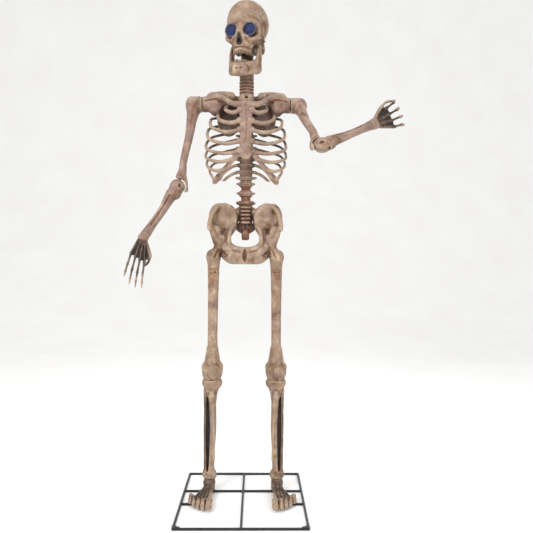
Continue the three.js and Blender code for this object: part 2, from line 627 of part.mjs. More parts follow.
function skull() {
  const cranium = ball(CRANIUM_CENTRE, V(SKULL_HALF_WIDTH, 189, 163), V(-8, 0, 0), 12, 8);
  const base = ball(V(0, 30, 250), V(104, 130, 90), V(0, 0, 0), 10, 6);
  const face = ball(V(0, -92, 300), V(118, 88, 104), V(0, 0, 0), 10, 8);
  const muzzle = ball(V(0, -112, 196), V(72, 74, 74), V(0, 0, 0), 8, 6);
  const brow = bone(
    [V(-124, -92, 356), V(-70, -160, 362), V(0, -172, 352), V(70, -160, 362), V(124, -92, 356)],
    [16, 20, 20, 20, 16], { up: V(0, 0, 1), steps: 6, around: 6 });
  const cheeks = bothSides((s) => bone(
    [V(s * 60, -158, 232), V(s * 104, -126, 246), V(s * 132, -60, 262), V(s * 132, 10, 268)],
    [22, 24, 15, 14], { up: V(0, 0, 1), steps: 5, around: 6 }));
  const mastoids = bothSides((s) => ball(V(s * 104, 62, 216), V(24, 34, 52), V(0, 0, 0), 8, 6));
  const upperTeeth = bone(
    [V(-58, -110, 146), V(-42, -158, 146), V(0, -178, 146), V(42, -158, 146), V(58, -110, 146)],
    [15, 15, 15, 15, 15], { up: V(0, 0, 1), steps: 6, flat: 1.2, around: 6 });
  const nose = ball(V(0, -178, 246), V(20, 60, 34), V(0, 0, 0), 8, 6);
  const collarProfile = [[SEAM, NECK_RADIUS - 4], [22, NECK_RADIUS], [60, NECK_RADIUS - 6], [230, 46]];
  const collar = uprighted(column(0, 0, collarProfile, 12));
  const solidHead = join(cranium, base, face, muzzle, brow, ...cheeks, ...mastoids, upperTeeth, collar);
  const cavity = ball(V(0, 16, 402), V(SKULL_HALF_WIDTH - 14, 171, 144), V(-8, 0, 0), 8, 6);
  const lead = upright(0, 0, 64, 300, AXLE_RADIUS + RUN);
  const swivel = uprighted(upright(0, 0, -2, 66, AXLE_RADIUS + RUN));
  const belowSeam = uprighted(upright(0, 0, -200, SEAM, 190));
  const sockets = bothSides((s) => socketBore(s, EYE_RADIUS + 5, 6));
  const wires = bothSides((s) => rod(eyeAt(s), V(s * 30, 0, 380), 6, 6, 8));
  const doorHole = block(V(-46, 150, 352), V(46, 260, 446));
  const openings = join(cavity, lead, nose, ...sockets, ...wires, doorHole);
  return solidHead.subtract(join(openings, swivel, belowSeam, jawSpace()));
}

// Room that the jaw sweeps between its two stops.
function jawSpace() {
  return join(...bothSides(
    (s) => ball(V(s * JAW_HALF_WIDTH, JAW_Y, JAW_Z), V(24, 34, 36), V(0, 0, 0), 8, 6)));
}

function jaw() {
  const at = (s, x, y, z) => V(s * x, y, z);
  const halves = bothSides((s) => bone(
    [at(s, JAW_HALF_WIDTH, JAW_Y, JAW_Z), at(s, 106, -22, 140), at(s, 94, -52, 62), at(s, 66, -122, 28),
      at(s, 20, -176, 14), at(s, 0, -180, 14)],
    [16, 20, 24, 24, 26, 28, 28], { up: V(0.01, -0.4, 1), steps: 8, around: 6 }));
  const lowerTeeth = bone(
    [V(-54, -112, 62), V(-40, -150, 58), V(0, -172, 56), V(40, -150, 58), V(54, -112, 62)],
    [14, 14, 14, 14, 14], { up: V(0, 0, 1), steps: 6, flat: 1.2, around: 6 });
  const chin = ball(V(0, -178, 8), V(38, 22, 26));
  const pin = rod(V(-150, JAW_Y, JAW_Z), V(150, JAW_Y, JAW_Z), 5 + GAP, 5 + GAP, 12);
  return join(...halves, lowerTeeth, chin).subtract(pin);
}

function eyeDisplay(s) {
  const c = eyeAt(s);
  const dome = ball(V(c.x, c.y + 2, c.z), V(EYE_RADIUS - 4, 16, EYE_RADIUS - 4), V(0, 0, 0), 14, 6);
  return dome.subtract(block(V(-200, c.y + 2, 0), V(200, 200, 500)));
}

function eyeBezel(s) {
  const c = eyeAt(s);
  const ring = rod(V(c.x, c.y + 5, c.z), V(c.x, c.y - 7, c.z), EYE_RADIUS + 4, EYE_RADIUS + 4, 16);
  const seat = rod(V(c.x, c.y + 2 + GAP, c.z), V(c.x, c.y - 40, c.z), EYE_RADIUS - 2.5, EYE_RADIUS - 2.5, 16);
  const lead = rod(V(c.x, c.y + 20, c.z), V(c.x, c.y - 20, c.z), 6, 6, 8);
  return ring.subtract(seat).subtract(lead);
}

function batteryDoor() {
  const shell = ball(CRANIUM_CENTRE, V(SKULL_HALF_WIDTH, 189, 163), V(-8, 0, 0), 12, 8);
  const room = ball(CRANIUM_CENTRE, V(SKULL_HALF_WIDTH - 5, 184, 158), V(-8, 0, 0), 20, 14);
  const outline = block(V(-46 + GAP, 150, 352 + GAP), V(46 - GAP, 260, 446 - GAP));
  const screwHole = rod(V(0, 150, 436), V(0, 260, 436), 4 + GAP, 4 + GAP, 12);
  return shell.subtract(room).intersect(outline).subtract(screwHole).subtract(switchSpace());
}

function switchSpace() {
  return block(V(-16, 150, 366), V(16, 260, 378));
}

function batteryScrew() {
  return rod(V(0, 176, 436), V(0, 193, 436), 4, 4, 10);
}

function powerSwitch() {
  return block(V(-10, 180, 366 + RUN), V(0, 196, 378 - RUN));
}

// ---- assembly -----------------------------------------------------------------------------------

const skeleton = new THREE.Group();

function piece(parent, name, shape, look) {
  const geometry = shape.isBufferGeometry ? shape : geometryOf(shape);
  const mesh = new THREE.Mesh(geometry, new THREE.MeshStandardMaterial(finish[look]));
  mesh.name = name;
  parent.add(mesh);
  return mesh;
}

function pair(parent, name, shape, look) {
  const left = geometryOf(shape);
  piece(parent, `${name}_left`, left, look);
  piece(parent, `${name}_right`, mirrored(left), look);
}

function buildStand() {
  piece(skeleton, "base_cross_bar", crossBar(), "steel");
  piece(skeleton, "base_front_bar", endBar(-BASE_FRONT), "steel");
  piece(skeleton, "base_back_bar", endBar(BASE_BACK - BAR), "steel");
  piece(skeleton, "base_centre_bar_front", centreBar(true), "steel");
  piece(skeleton, "base_centre_bar_back", centreBar(false), "steel");
  pair(skeleton, "base_side_bar", sideBar(1), "steel");
  pair(skeleton, "base_foot_bar", footBar(1), "steel");
  pair(skeleton, "base_corner_bracket", cornerBracket(1), "steel");
  pair(skeleton, "leg_pole", legPole(), "steel");
  piece(skeleton, "spine_pole", spinePole(), "steel");
}

function buildLegs() {
  pair(skeleton, "foot", foot(), "bone");
  pair(skeleton, "shin", shin(), "bone");
  pair(skeleton, "thigh", thigh(), "bone");
  pair(skeleton, "kneecap", kneecap(), "bone");
}

function buildTrunk() {
  piece(skeleton, "pelvis", pelvis(), "bone");
  piece(skeleton, "sacrum", sacrum(), "stained");
  piece(skeleton, "lumbar_spine", lumbarSpine(), "stained");
  piece(skeleton, "chest_front", chestMoulding(true), "bone");
  piece(skeleton, "chest_back", chestMoulding(false), "bone");
  piece(skeleton, "neck", neck(), "stained");
  pair(skeleton, "shoulder_axle", shoulderAxle(1), "zinc");
}

// Nested groups put each arm in its pose: swing at the shoulder, bend at the elbow, twist at the wrist.
function buildArm(name, side, { swing, bend, twist, curl, thumbTip }) {
  const turn = (geometry) => (side > 0 ? geometry : mirrored(geometry));
  const shoulder = new THREE.Group();
  shoulder.position.set(side * SHOULDER_X, 0, SHOULDER_Z);
  shoulder.rotation.x = -deg(swing);
  skeleton.add(shoulder);
  const elbow = new THREE.Group();
  elbow.position.set(side * elbowAt.x, 0, elbowAt.z);
  elbow.rotation.y = -side * deg(ARM_LEAN + bend);
  shoulder.add(elbow);
  const wrist = new THREE.Group();
  wrist.position.copy(wristAt);
  wrist.rotation.set(-deg(CARRY), 0, side * deg(twist), "XYZ");
  elbow.add(wrist);
  piece(shoulder, `upper_arm_${name}`, turn(geometryOf(upperArm())), "bone");
  piece(shoulder, `shoulder_button_${name}`, turn(geometryOf(shoulderButton())), "trim");
  piece(elbow, `elbow_pin_${name}`, turn(geometryOf(elbowPin())), "zinc");
  piece(elbow, `forearm_${name}`, turn(geometryOf(forearm())), "bone");
  piece(wrist, `hand_${name}`, turn(geometryOf(hand(curl, thumbTip))), "bone");
}

function buildHead() {
  const head = new THREE.Group();
  head.position.set(0, NECK_Y, NECK_TOP_Z);
  head.rotation.set(deg(HEAD_NOD), deg(HEAD_TILT), deg(HEAD_TURN), "ZXY");
  skeleton.add(head);
  piece(head, "skull", skull(), "bone");
  piece(head, "jaw", jaw(), "bone");
  for (const [name, s] of [["left", 1], ["right", -1]]) {
    piece(head, `eye_display_${name}`, eyeDisplay(s), "display");
    piece(head, `eye_bezel_${name}`, eyeBezel(s), "trim");
  }
  piece(head, "battery_door", batteryDoor(), "bone");
  piece(head, "battery_screw", batteryScrew(), "zinc");
  piece(head, "power_switch", powerSwitch(), "trim");
}

buildStand();
buildLegs();
buildTrunk();
buildArm("left", 1, {
  swing: LEFT_SWING, bend: LEFT_BEND, twist: LEFT_TWIST, curl: GRASPING,
  thumbTip: [V(-72, 44, -152), V(-62, 74, -176)],
});
buildArm("right", -1, {
  swing: 0, bend: RIGHT_BEND, twist: 0, curl: RELAXED, thumbTip: [V(-66, 30, -158), V(-54, 40, -190)],
});
buildHead();

export default skeleton;
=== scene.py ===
"""Looks for the giant posable skeleton: sculpted bones, teeth, displays and the steel stand."""
import json
import math

import bpy
import numpy as np
import openvdb
from mathutils import Matrix, Vector


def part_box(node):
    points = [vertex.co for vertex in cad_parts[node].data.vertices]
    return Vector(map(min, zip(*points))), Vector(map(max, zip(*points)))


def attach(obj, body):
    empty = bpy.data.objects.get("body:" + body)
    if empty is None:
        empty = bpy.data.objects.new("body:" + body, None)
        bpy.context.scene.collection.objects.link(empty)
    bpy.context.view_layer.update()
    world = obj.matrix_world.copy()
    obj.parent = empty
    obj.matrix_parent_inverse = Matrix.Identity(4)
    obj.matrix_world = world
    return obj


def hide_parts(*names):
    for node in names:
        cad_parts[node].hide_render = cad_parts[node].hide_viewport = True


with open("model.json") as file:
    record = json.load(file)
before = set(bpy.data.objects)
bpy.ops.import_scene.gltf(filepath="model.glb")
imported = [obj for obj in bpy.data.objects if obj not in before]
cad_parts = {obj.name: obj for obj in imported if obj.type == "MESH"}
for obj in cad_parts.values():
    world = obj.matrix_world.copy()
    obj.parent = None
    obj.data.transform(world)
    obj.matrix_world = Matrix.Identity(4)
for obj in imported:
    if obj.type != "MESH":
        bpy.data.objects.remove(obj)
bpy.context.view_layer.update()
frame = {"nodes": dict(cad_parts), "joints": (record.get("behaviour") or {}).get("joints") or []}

MM = 0.001
HINGE_Y, HINGE_Z = -28, 205      # the jaw hinge in the head's own axes
FACE_TURN = 5                   # the face is moulded this far round from the head's own axis
FAR = 60.0                      # distance kept in the clay away from its surface, in mm

# ---- the frame's own places, in millimetres -----------------------------------------------------


def span(node):
    low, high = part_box(node)
    return np.array(low) * 1000, np.array(high) * 1000


def joint(name):
    return next(j for j in frame["joints"] if j["name"] == name)


def joint_at(name):
    return np.array(joint(name)["pos_m"]) * 1000


def unit(v):
    v = np.array(v, float)
    return v / np.linalg.norm(v)


pole_low, pole_high = span("leg_pole_left")
LEG_X = (pole_low[0] + pole_high[0]) / 2
ANKLE_Z = span("foot_left")[1][2]
KNEE_Z = span("thigh_left")[0][2]
COLLAR_Z = span("thigh_left")[1][2]
BAR_TOP = span("base_cross_bar")[1][2]
SPINE_Y = (span("spine_pole")[0][1] + span("spine_pole")[1][1]) / 2
PELVIS_TOP = span("pelvis")[1][2]
PELVIS_BOTTOM = COLLAR_Z + 34
PUBIS_HALF_WIDTH = 150
LUMBAR_TOP = span("lumbar_spine")[1][2]
CHEST_SEAM_Y = span("chest_front")[1][1]
neck_mid = joint_at("head_swivel")
NECK_Y = neck_mid[1]
SHOULDER = {s: joint_at(f"{s}_shoulder") for s in ("left", "right")}
ELBOW = {s: joint_at(f"{s}_elbow") for s in ("left", "right")}
WRIST = {s: joint_at(f"{s}_wrist") for s in ("left", "right")}
SHOULDER_X = SHOULDER["left"][0]
SHOULDER_Z = SHOULDER["left"][2]


def place(x_axis, y_axis, z_axis, origin):
    m = np.eye(4)
    m[:3, 0], m[:3, 1], m[:3, 2], m[:3, 3] = x_axis, y_axis, z_axis, origin
    return m


def head_place():
    """The skull's own axes: across, back and up, from the jaw's hinge line and the neck joint."""
    across = unit(joint("jaw_hinge")["axis"])
    rise = joint_at("jaw_hinge") - neck_mid
    rise -= across * rise.dot(across)
    tip = math.atan2(-HINGE_Y, HINGE_Z)
    back0 = np.cross(unit(rise), across)
    up = unit(rise) * math.cos(tip) + back0 * math.sin(tip)
    face = place(across, np.cross(up, across), up, neck_mid)
    return face @ np.array(Matrix.Rotation(math.radians(FACE_TURN), 4, "Z"))


def arm_places(side):
    """Upper arm, forearm and hand axes: out from the body, back, and up along the bone."""
    s = 1 if side == "left" else -1
    hinge = unit(joint(f"{side}_elbow")["axis"]) * -s
    sh, el, wr = SHOULDER[side], ELBOW[side], WRIST[side]
    out = np.array([s * 1.0, 0, 0])
    up = np.cross(out, hinge) * s
    upper = place(out, hinge, up, sh)
    along = unit(joint(f"{side}_wrist")["axis"]) * -1
    fore_up = unit(along - hinge * along.dot(hinge))
    fore = place(np.cross(hinge, fore_up) * s, hinge, fore_up, el)
    palm_back = unit(hinge - along * hinge.dot(along))
    hand = place(np.cross(palm_back, along) * s, palm_back, along, wr)
    return upper, fore, hand


# ---- clay: bones are sculpted as one soft solid, then skinned ------------------------------------


def smooth_points(points, count):
    """Points along a smooth curve through the given ones."""
    p = np.array(points, float)
    if len(p) == 2:
        u = np.linspace(0, 1, count)[:, None]
        return p[0] * (1 - u) + p[1] * u
    ext = np.vstack([2 * p[0] - p[1], p, 2 * p[-1] - p[-2]])
    out = []
    for k in np.linspace(0, len(p) - 1, count):
        i = min(int(k), len(p) - 2)
        t = k - i
        a, b, c, d = ext[i], ext[i + 1], ext[i + 2], ext[i + 3]
        out.append(0.5 * (2 * b + (c - a) * t + (2 * a - 5 * b + 4 * c - d) * t * t
                          + (3 * b - a - 3 * c + d) * t ** 3))
    return np.array(out)


def even(values, count):
    return np.interp(np.linspace(0, 1, count), np.linspace(0, 1, len(values)), values)


class Clay:
    """A block of clay: add and carve soft shapes, then skin it. Lengths are millimetres."""

    def __init__(self, low, high, step):
        self.step = step
        self.low = np.array(low, float) - 5 * step
        self.count = np.ceil((np.array(high, float) + 5 * step - self.low) / step).astype(int)
        self.d = np.full(self.count, FAR, np.float32)
        self.paint = {}

    def axes(self):
        """The block's own x, y and z, shaped to be combined."""
        g = [self.low[k] + self.step * np.arange(self.count[k], dtype=np.float32) for k in range(3)]
        return g[0][:, None, None], g[1][None, :, None], g[2][None, None, :]

    def window(self, low, high, margin):
        a = np.clip(np.floor((low - margin - self.low) / self.step).astype(int), 0, self.count - 1)
        b = np.clip(np.ceil((high + margin - self.low) / self.step).astype(int) + 1, 1, self.count)
        if np.any(b <= a):
            return None, None
        axes = [self.low[k] + self.step * np.arange(a[k], b[k], dtype=np.float32) for k in range(3)]
        x, y, z = axes[0][:, None, None], axes[1][None, :, None], axes[2][None, None, :]
        return tuple(slice(a[k], b[k]) for k in range(3)), (x, y, z)

    def blend(self, where, d, soft, carve):
        old = self.d[where]
        if carve:
            old, d = -old, d
        if soft > 0:
            h = np.clip(soft - np.abs(old - d), 0, None) / soft
            new = np.minimum(old, d) - h * h * soft * 0.25
        else:
            new = np.minimum(old, d)
        self.d[where] = -new if carve else new

    def ball(self, centre, radii, soft=8.0, carve=False, turn=None):
        c, r = np.array(centre, float), np.array(radii, float)
        reach = np.full(3, r.max()) if turn is not None else r
        where, xyz = self.window(c - reach, c + reach, soft + 3 * self.step)
        if where is None:
            return
        q = [g - c[k] for k, g in enumerate(xyz)]
        if turn is not None:
            m = np.array(turn)
            q = [q[0] * m[0, k] + q[1] * m[1, k] + q[2] * m[2, k] for k in range(3)]
        k0 = np.sqrt((q[0] / r[0]) ** 2 + (q[1] / r[1]) ** 2 + (q[2] / r[2]) ** 2)
        k1 = np.sqrt((q[0] / r[0] ** 2) ** 2 + (q[1] / r[1] ** 2) ** 2 + (q[2] / r[2] ** 2) ** 2)
        self.blend(where, (k0 * (k0 - 1) / np.maximum(k1, 1e-6)).astype(np.float32), soft, carve)

    def sweep(self, points, radii, soft=8.0, carve=False, flat=1.0, up=(0, 0, 1), steps=None, mark=None):
        """A bar along a smooth curve; flat squashes it along up."""
        steps = steps or max(3, 4 * (len(points) - 1) + 1)
        p = smooth_points(points, steps)
        r = even(radii, steps)
        margin = (12 if mark else soft) + 3 * self.step
        where, _ = self.window(p.min(0) - r.max(), p.max(0) + r.max(), margin)
        if where is None:
            return
        best = np.full([s.stop - s.start for s in where], FAR, np.float32)
        origin = [s.start for s in where]
        n = np.array(up, float)
        for i in range(steps - 1):
            a, b = p[i], p[i + 1]
            big = max(r[i], r[i + 1])
            sub, g = self.window(np.minimum(a, b) - big, np.maximum(a, b) + big, margin)
            if sub is None:
                continue
            ab = b - a
            t = ((g[0] - a[0]) * ab[0] + (g[1] - a[1]) * ab[1] + (g[2] - a[2]) * ab[2]) / max(ab.dot(ab),
                    1e-9)
            t = np.clip(t, 0, 1)
            q = [g[k] - a[k] - t * ab[k] for k in range(3)]
            square = q[0] ** 2 + q[1] ** 2 + q[2] ** 2
            if flat != 1.0:
                m = unit(n - unit(ab) * n.dot(unit(ab)))
                lift = q[0] * m[0] + q[1] * m[1] + q[2] * m[2]
                square = square + (1 / flat ** 2 - 1) * lift ** 2
            d = np.sqrt(square) - (r[i] + (r[i + 1] - r[i]) * t)
            if flat != 1.0:
                d = d * (0.5 + 0.5 * flat)
            local = tuple(slice(sub[k].start - origin[k], sub[k].stop - origin[k]) for k in range(3))
            np.minimum(best[local], d, out=best[local])
        if mark:
            field = self.paint.setdefault(mark, np.zeros(self.count, np.float32))
            field[where] = np.maximum(field[where], np.clip(0.5 - best / 10.0, 0, 1))
        else:
            self.blend(where, best, soft, carve)

    # Lays a named mark on the clay: rust staining, near-black dark paint deepened as painted shade, and
    # painted shade.
    def stain_and_shade(self, name, points, radii, **kw):
        self.sweep(points, radii, mark=name, **kw)

    def keep(self, axis, low=None, high=None):
        """Cuts the clay square at a low and a high plane."""
        g = self.axes()[axis]
        if low is not None:
            self.d = np.maximum(self.d, low - g)
        if high is not None:
            self.d = np.maximum(self.d, g - high)

    def sample(self, field, points):
        q = np.clip((points - self.low) / self.step, 0, self.count - 1.001)
        i = q.astype(int)
        f = q - i
        out = np.zeros(len(points), np.float32)
        for dx in (0, 1):
            for dy in (0, 1):
                for dz in (0, 1):
                    w = ((f[:, 0] if dx else 1 - f[:, 0]) * (f[:, 1] if dy else 1 - f[:, 1])
                         * (f[:, 2] if dz else 1 - f[:, 2]))
                    out += w * field[i[:, 0] + dx, i[:, 1] + dy, i[:, 2] + dz]
        return out

    def blurred(self, reach):
        out = np.clip(self.d, -3 * reach * self.step, 3 * reach * self.step)
        for _ in range(2):
            for axis in range(3):
                pad = [(reach + 1, reach) if k == axis else (0, 0) for k in range(3)]
                c = np.cumsum(np.pad(out, pad, mode="edge"), axis=axis, dtype=np.float64)
                hi = np.take(c, np.arange(2 * reach + 1, c.shape[axis]), axis=axis)
                lo = np.take(c, np.arange(0, c.shape[axis] - 2 * reach - 1), axis=axis)
                out = ((hi - lo) / (2 * reach + 1)).astype(np.float32)
        return out


def lumps(points, size, seed):
    """Smooth bumps, about -1 to 1, the given size in millimetres."""
    cells = 32
    table = np.random.default_rng(seed).uniform(-1, 1, (cells, cells, cells))
    q = points / size + 1000.0
    i = np.floor(q).astype(int)
    f = q - i
    f = f * f * (3 - 2 * f)
    out = np.zeros(len(points))
    for dx in (0, 1):
        for dy in (0, 1):
            for dz in (0, 1):
                w = ((f[:, 0] if dx else 1 - f[:, 0]) * (f[:, 1] if dy else 1 - f[:, 1])
                     * (f[:, 2] if dz else 1 - f[:, 2]))
                out += w * table[(i[:, 0] + dx) % cells, (i[:, 1] + dy) % cells, (i[:, 2] + dz) % cells]
    return out


def skin(clay, name, relief=0.8, matrix=None, mirror=False, grain=28.0):
    """Meshes the clay, adds its hand-worked relief and keeps as attributes how hollow each place is (darkened
    brown, partly painted shade), how sharp (lightened as a painted highlight) and the marks laid on the clay:
    near-black dark paint with painted shade, rust staining and painted shade.
    """
    grid = openvdb.FloatGrid(FAR)
    grid.copyFromArray(np.ascontiguousarray(clay.d))
    points, _, quads = grid.convertToPolygons(isovalue=0.0, adaptivity=0.0)
    points = points * clay.step + clay.low
    near, wide = clay.blurred(1), clay.blurred(3)
    hollow = clay.sample(wide, points) / clay.step
    fine = clay.sample(near, points) / clay.step
    slope = np.stack([clay.sample(near, points + d) - clay.sample(near, points - d)
                      for d in np.eye(3) * clay.step], axis=1)
    slope /= np.maximum(np.linalg.norm(slope, axis=1), 1e-6)[:, None]
    bump = 0.6 * lumps(points, grain, 3) + 0.4 * lumps(points, grain * 0.4, 4)
    points = points + slope * (relief * bump)[:, None]
    none = np.zeros(clay.count, np.float32)
    # marks read back: near-black dark paint and painted shade, rust staining, and painted shade
    dark_paint_and_shade, rust, painted_shade = (clay.sample(clay.paint.get(k, none), points) for k in ("dark_paint_and_shade", "rust", "painted_shade"))
    if mirror:
        points = points * np.array([-1, 1, 1])
    if matrix is not None:
        points = points @ matrix[:3, :3].T + matrix[:3, 3]
    flip = mirror != (matrix is not None and np.linalg.det(matrix[:3, :3]) < 0)
    faces = [q if flip else q[::-1] for q in quads.tolist()]
    mesh = bpy.data.meshes.new(name)
    mesh.from_pydata((points * MM).tolist(), [], faces)
    for label, values in (("hollow", hollow), ("edge", fine), ("dark_paint_and_shade", dark_paint_and_shade), ("rust", rust), ("painted_shade", painted_shade)):
        layer = mesh.attributes.new(label, "FLOAT", "POINT")
        layer.data.foreach_set("value", np.asarray(values, np.float32))
    mesh.polygons.foreach_set("use_smooth", [True] * len(faces))
    mesh.update()
    piece = bpy.data.objects.new(name, mesh)
    bpy.context.scene.collection.objects.link(piece)
    return piece


# ---- bones of the legs ---------------------------------------------------------------------------
# Every bone is sculpted for the figure's left side and mirrored for its right.


def thigh_clay():
    knee, hip = LEG_X - 6, LEG_X - 10
    c = Clay((knee - 86, -86, KNEE_Z), (knee + 86, 74, COLLAR_Z), 3.6)
    c.sweep([(knee, 0, KNEE_Z - 20), (knee, -2, KNEE_Z + 80), (knee - 1, -6, KNEE_Z + 210),
            (hip + 2, -10, 1240),
             (hip + 1, -6, 1480), (hip, 0, COLLAR_Z + 20)],
            [58, 60, 47, 39, 36.5, 36, 36.5, 38, 41, 44], soft=0, steps=30)
    for s in (1, -1):
        c.ball((knee + s * 36, 8, KNEE_Z + 58), (42, 56, 62), 16)
        c.ball((knee + s * 30, -34, KNEE_Z + 52), (30, 26, 50), 14)
        c.ball((knee + s * 62, 10, KNEE_Z + 96), (17, 24, 26), 16)
        c.sweep([(knee + s * 40, 6, KNEE_Z + 120), (knee + s * 28, -6, KNEE_Z + 230)], [22, 14], 16)
    c.ball((knee, 52, KNEE_Z + 40), (16, 26, 54), 16, carve=True)
    c.ball((knee, -62, KNEE_Z + 30), (12, 18, 60), 14, carve=True)
    c.sweep([(hip - 6, 34, KNEE_Z + 240), (hip - 2, 36, 1350), (hip, 36, 1600)], [7, 8, 7], 14)
    c.sweep([(hip - 43, -12, 1632), (hip, -44, 1636), (hip + 43, -12, 1632)], [3.2, 3.2, 3.2], 3, carve=True)
    c.stain_and_shade("rust", [(hip, -30, COLLAR_Z), (hip + 6, -32, COLLAR_Z - 70), (hip, -30, COLLAR_Z - 150)],
            [34, 26, 8])
    c.stain_and_shade("rust", [(knee - 20, -50, KNEE_Z + 120), (knee + 30, -46, KNEE_Z + 150)], [6, 4])
    c.keep(2, KNEE_Z + 1.2, COLLAR_Z)
    return c


def shin_clay():
    ankle, knee = LEG_X + 7, LEG_X - 6
    c = Clay((knee - 80, -78, ANKLE_Z), (knee + 86, 74, KNEE_Z), 3.4)
    c.sweep([(ankle - 2, 0, ANKLE_Z - 16), (ankle - 8, -2, 240), (LEG_X - 17, -10, 480),
            (LEG_X - 12, -12, 660),
             (knee, 0, 770), (knee, 4, KNEE_Z + 20)], [40, 30, 25, 24, 25, 29, 42, 62, 66], 0, steps=30)
    c.sweep([(LEG_X - 26, -30, 250), (LEG_X - 22, -36, 520), (LEG_X - 8, -44, 690)], [9, 9, 16], 14)
    c.ball((knee - 2, -50, 724), (18, 18, 34), 18)
    c.sweep([(LEG_X + 30, 8, ANKLE_Z + 4), (LEG_X + 37, 8, 240), (LEG_X + 42, 10, 480), (LEG_X + 38, 12, 640),
             (LEG_X + 32, 10, 756)], [21, 17, 14, 13, 14, 20, 27], 10, steps=24)
    for s in (1, -1):
        c.ball((knee + s * 38, 6, KNEE_Z - 26), (38, 50, 36), 16)
    c.ball((ankle - 34, -8, ANKLE_Z + 24), (20, 26, 34), 16)
    c.ball((ankle + 36, 4, ANKLE_Z + 20), (17, 24, 34), 16)
    web_x = LEG_X + 12
    c.sweep([(web_x, 12, 150), (web_x, 12, 420), (web_x, 12, 740)], [22, 24, 26], 4, flat=0.45, up=(0, 1, 0))
    c.sweep([(web_x + 4, -14, 165), (web_x + 8, -12, 420), (web_x + 8, -10, 700)], [10, 13, 10], 8,
            carve=True)
    # near-black along the groove between tibia and fibula: the figure's dark paint, deepened as painted
    # shade; behind the web, painted shade
    c.stain_and_shade("dark_paint_and_shade", [(web_x + 4, -4, 168), (web_x + 7, -4, 420), (web_x + 8, -2, 716)], [18, 21, 17])
    c.stain_and_shade("dark_paint_and_shade", [(web_x, 24, 168), (web_x + 6, 26, 420), (web_x + 8, 26, 700)], [12, 15, 12])
    # painted shade down the outer and inner sides of the shin
    c.stain_and_shade("painted_shade", [(LEG_X + 44, 10, 150), (LEG_X + 56, 10, 480), (LEG_X + 50, 10, 700)], [20, 22, 20])
    c.stain_and_shade("painted_shade", [(LEG_X - 40, 0, 160), (LEG_X - 48, -10, 480)], [14, 16])
    c.keep(2, ANKLE_Z + 1.2, KNEE_Z - 1.2)
    return c


TOES = ((-12, -338, 25), (30, -326, 19), (64, -306, 18), (96, -276, 17.5), (126, -238, 17))


def foot_clay():
    sole = BAR_TOP + 0.3
    c = Clay((LEG_X - 44, -366, sole), (LEG_X + 152, 104, ANKLE_Z), 3.2)
    c.ball((LEG_X + 9, 48, 54), (41, 52, 42), 0)
    c.ball((LEG_X + 10, 4, 72), (44, 56, 40), 18)
    c.sweep([(LEG_X + 6, 0, 66), (LEG_X + 6, 0, ANKLE_Z + 20)], [40, 41], 14)
    for i in range(3):
        c.ball((LEG_X - 18 + 26 * i, -58 - 4 * i, 64 - 7 * i), (21, 30, 23), 7)
    for i, (x, y, r) in enumerate(TOES):
        tx = LEG_X + x
        base = (LEG_X - 12 + 17 * i, -66, 56 - 6 * i)
        mid = ((tx + base[0]) / 2, (y - 60) / 2 - 14, 46 - 3 * i)
        knuckle = (tx - 1, y + 82, sole + r + 9)
        c.sweep([base, mid, knuckle], [17, 13, 13, r * 0.95], 5)
        c.sweep([knuckle, (tx - 2, y + 44, sole + r + 4), (tx - 3, y + 14, sole + r - 1)],
                [r * 0.95, r * 0.82, r * 0.9, r * 0.92], 4, steps=8)
        c.sweep([(tx - 3, y + 12, sole + r - 2), (tx - 4, y, sole + r - 5)], [r * 0.8, r * 0.55], 4)
    for i in range(4):
        a, b = TOES[i], TOES[i + 1]
        gap_x = LEG_X + (a[0] + b[0]) / 2
        start = (LEG_X - 3 + 17 * i, -96, 50)
        end = (gap_x, (a[1] + b[1]) / 2 + 60, sole + 18)
        # near-black between the toes and down the gaps: painted shade
        c.stain_and_shade("dark_paint_and_shade", [start, end, (gap_x, (a[1] + b[1]) / 2 + 20, sole + 14)], [9, 12, 6])
        c.stain_and_shade("dark_paint_and_shade", [(start[0], start[1] + 30, 70), start], [3, 8])
    # painted shade over the top of the foot below the shin
    c.stain_and_shade("painted_shade", [(LEG_X + 8, -20, 90), (LEG_X + 20, -80, 60), (LEG_X + 50, -200, 20)], [40, 60, 60])
    c.keep(2, sole, ANKLE_Z - 1.2)
    c.ball((LEG_X, 0, sole), (36, 36, 7), 0, carve=True)
    return c


def kneecap_clay():
    low, high = span("kneecap_left")
    mid = (low + high) / 2
    c = Clay(low, high, 2.8)
    c.ball((mid[0], mid[1] + 14, mid[2] + 4), (44, 36, 50), 0)
    c.ball((mid[0], mid[1] + 14, mid[2] - 34), (24, 24, 20), 14)
    c.sweep([(mid[0] - 14, low[1] + 3, mid[2] + 30), (mid[0] - 16, low[1] + 1, mid[2] - 12)], [3, 2], 6,
            carve=True)
    c.sweep([(mid[0] + 16, low[1] + 4, mid[2] + 26), (mid[0] + 14, low[1] + 2, mid[2] - 20)], [3, 2], 6,
            carve=True)
    c.keep(1, None, high[1])
    return c


# ---- pelvis and spine ----------------------------------------------------------------------------


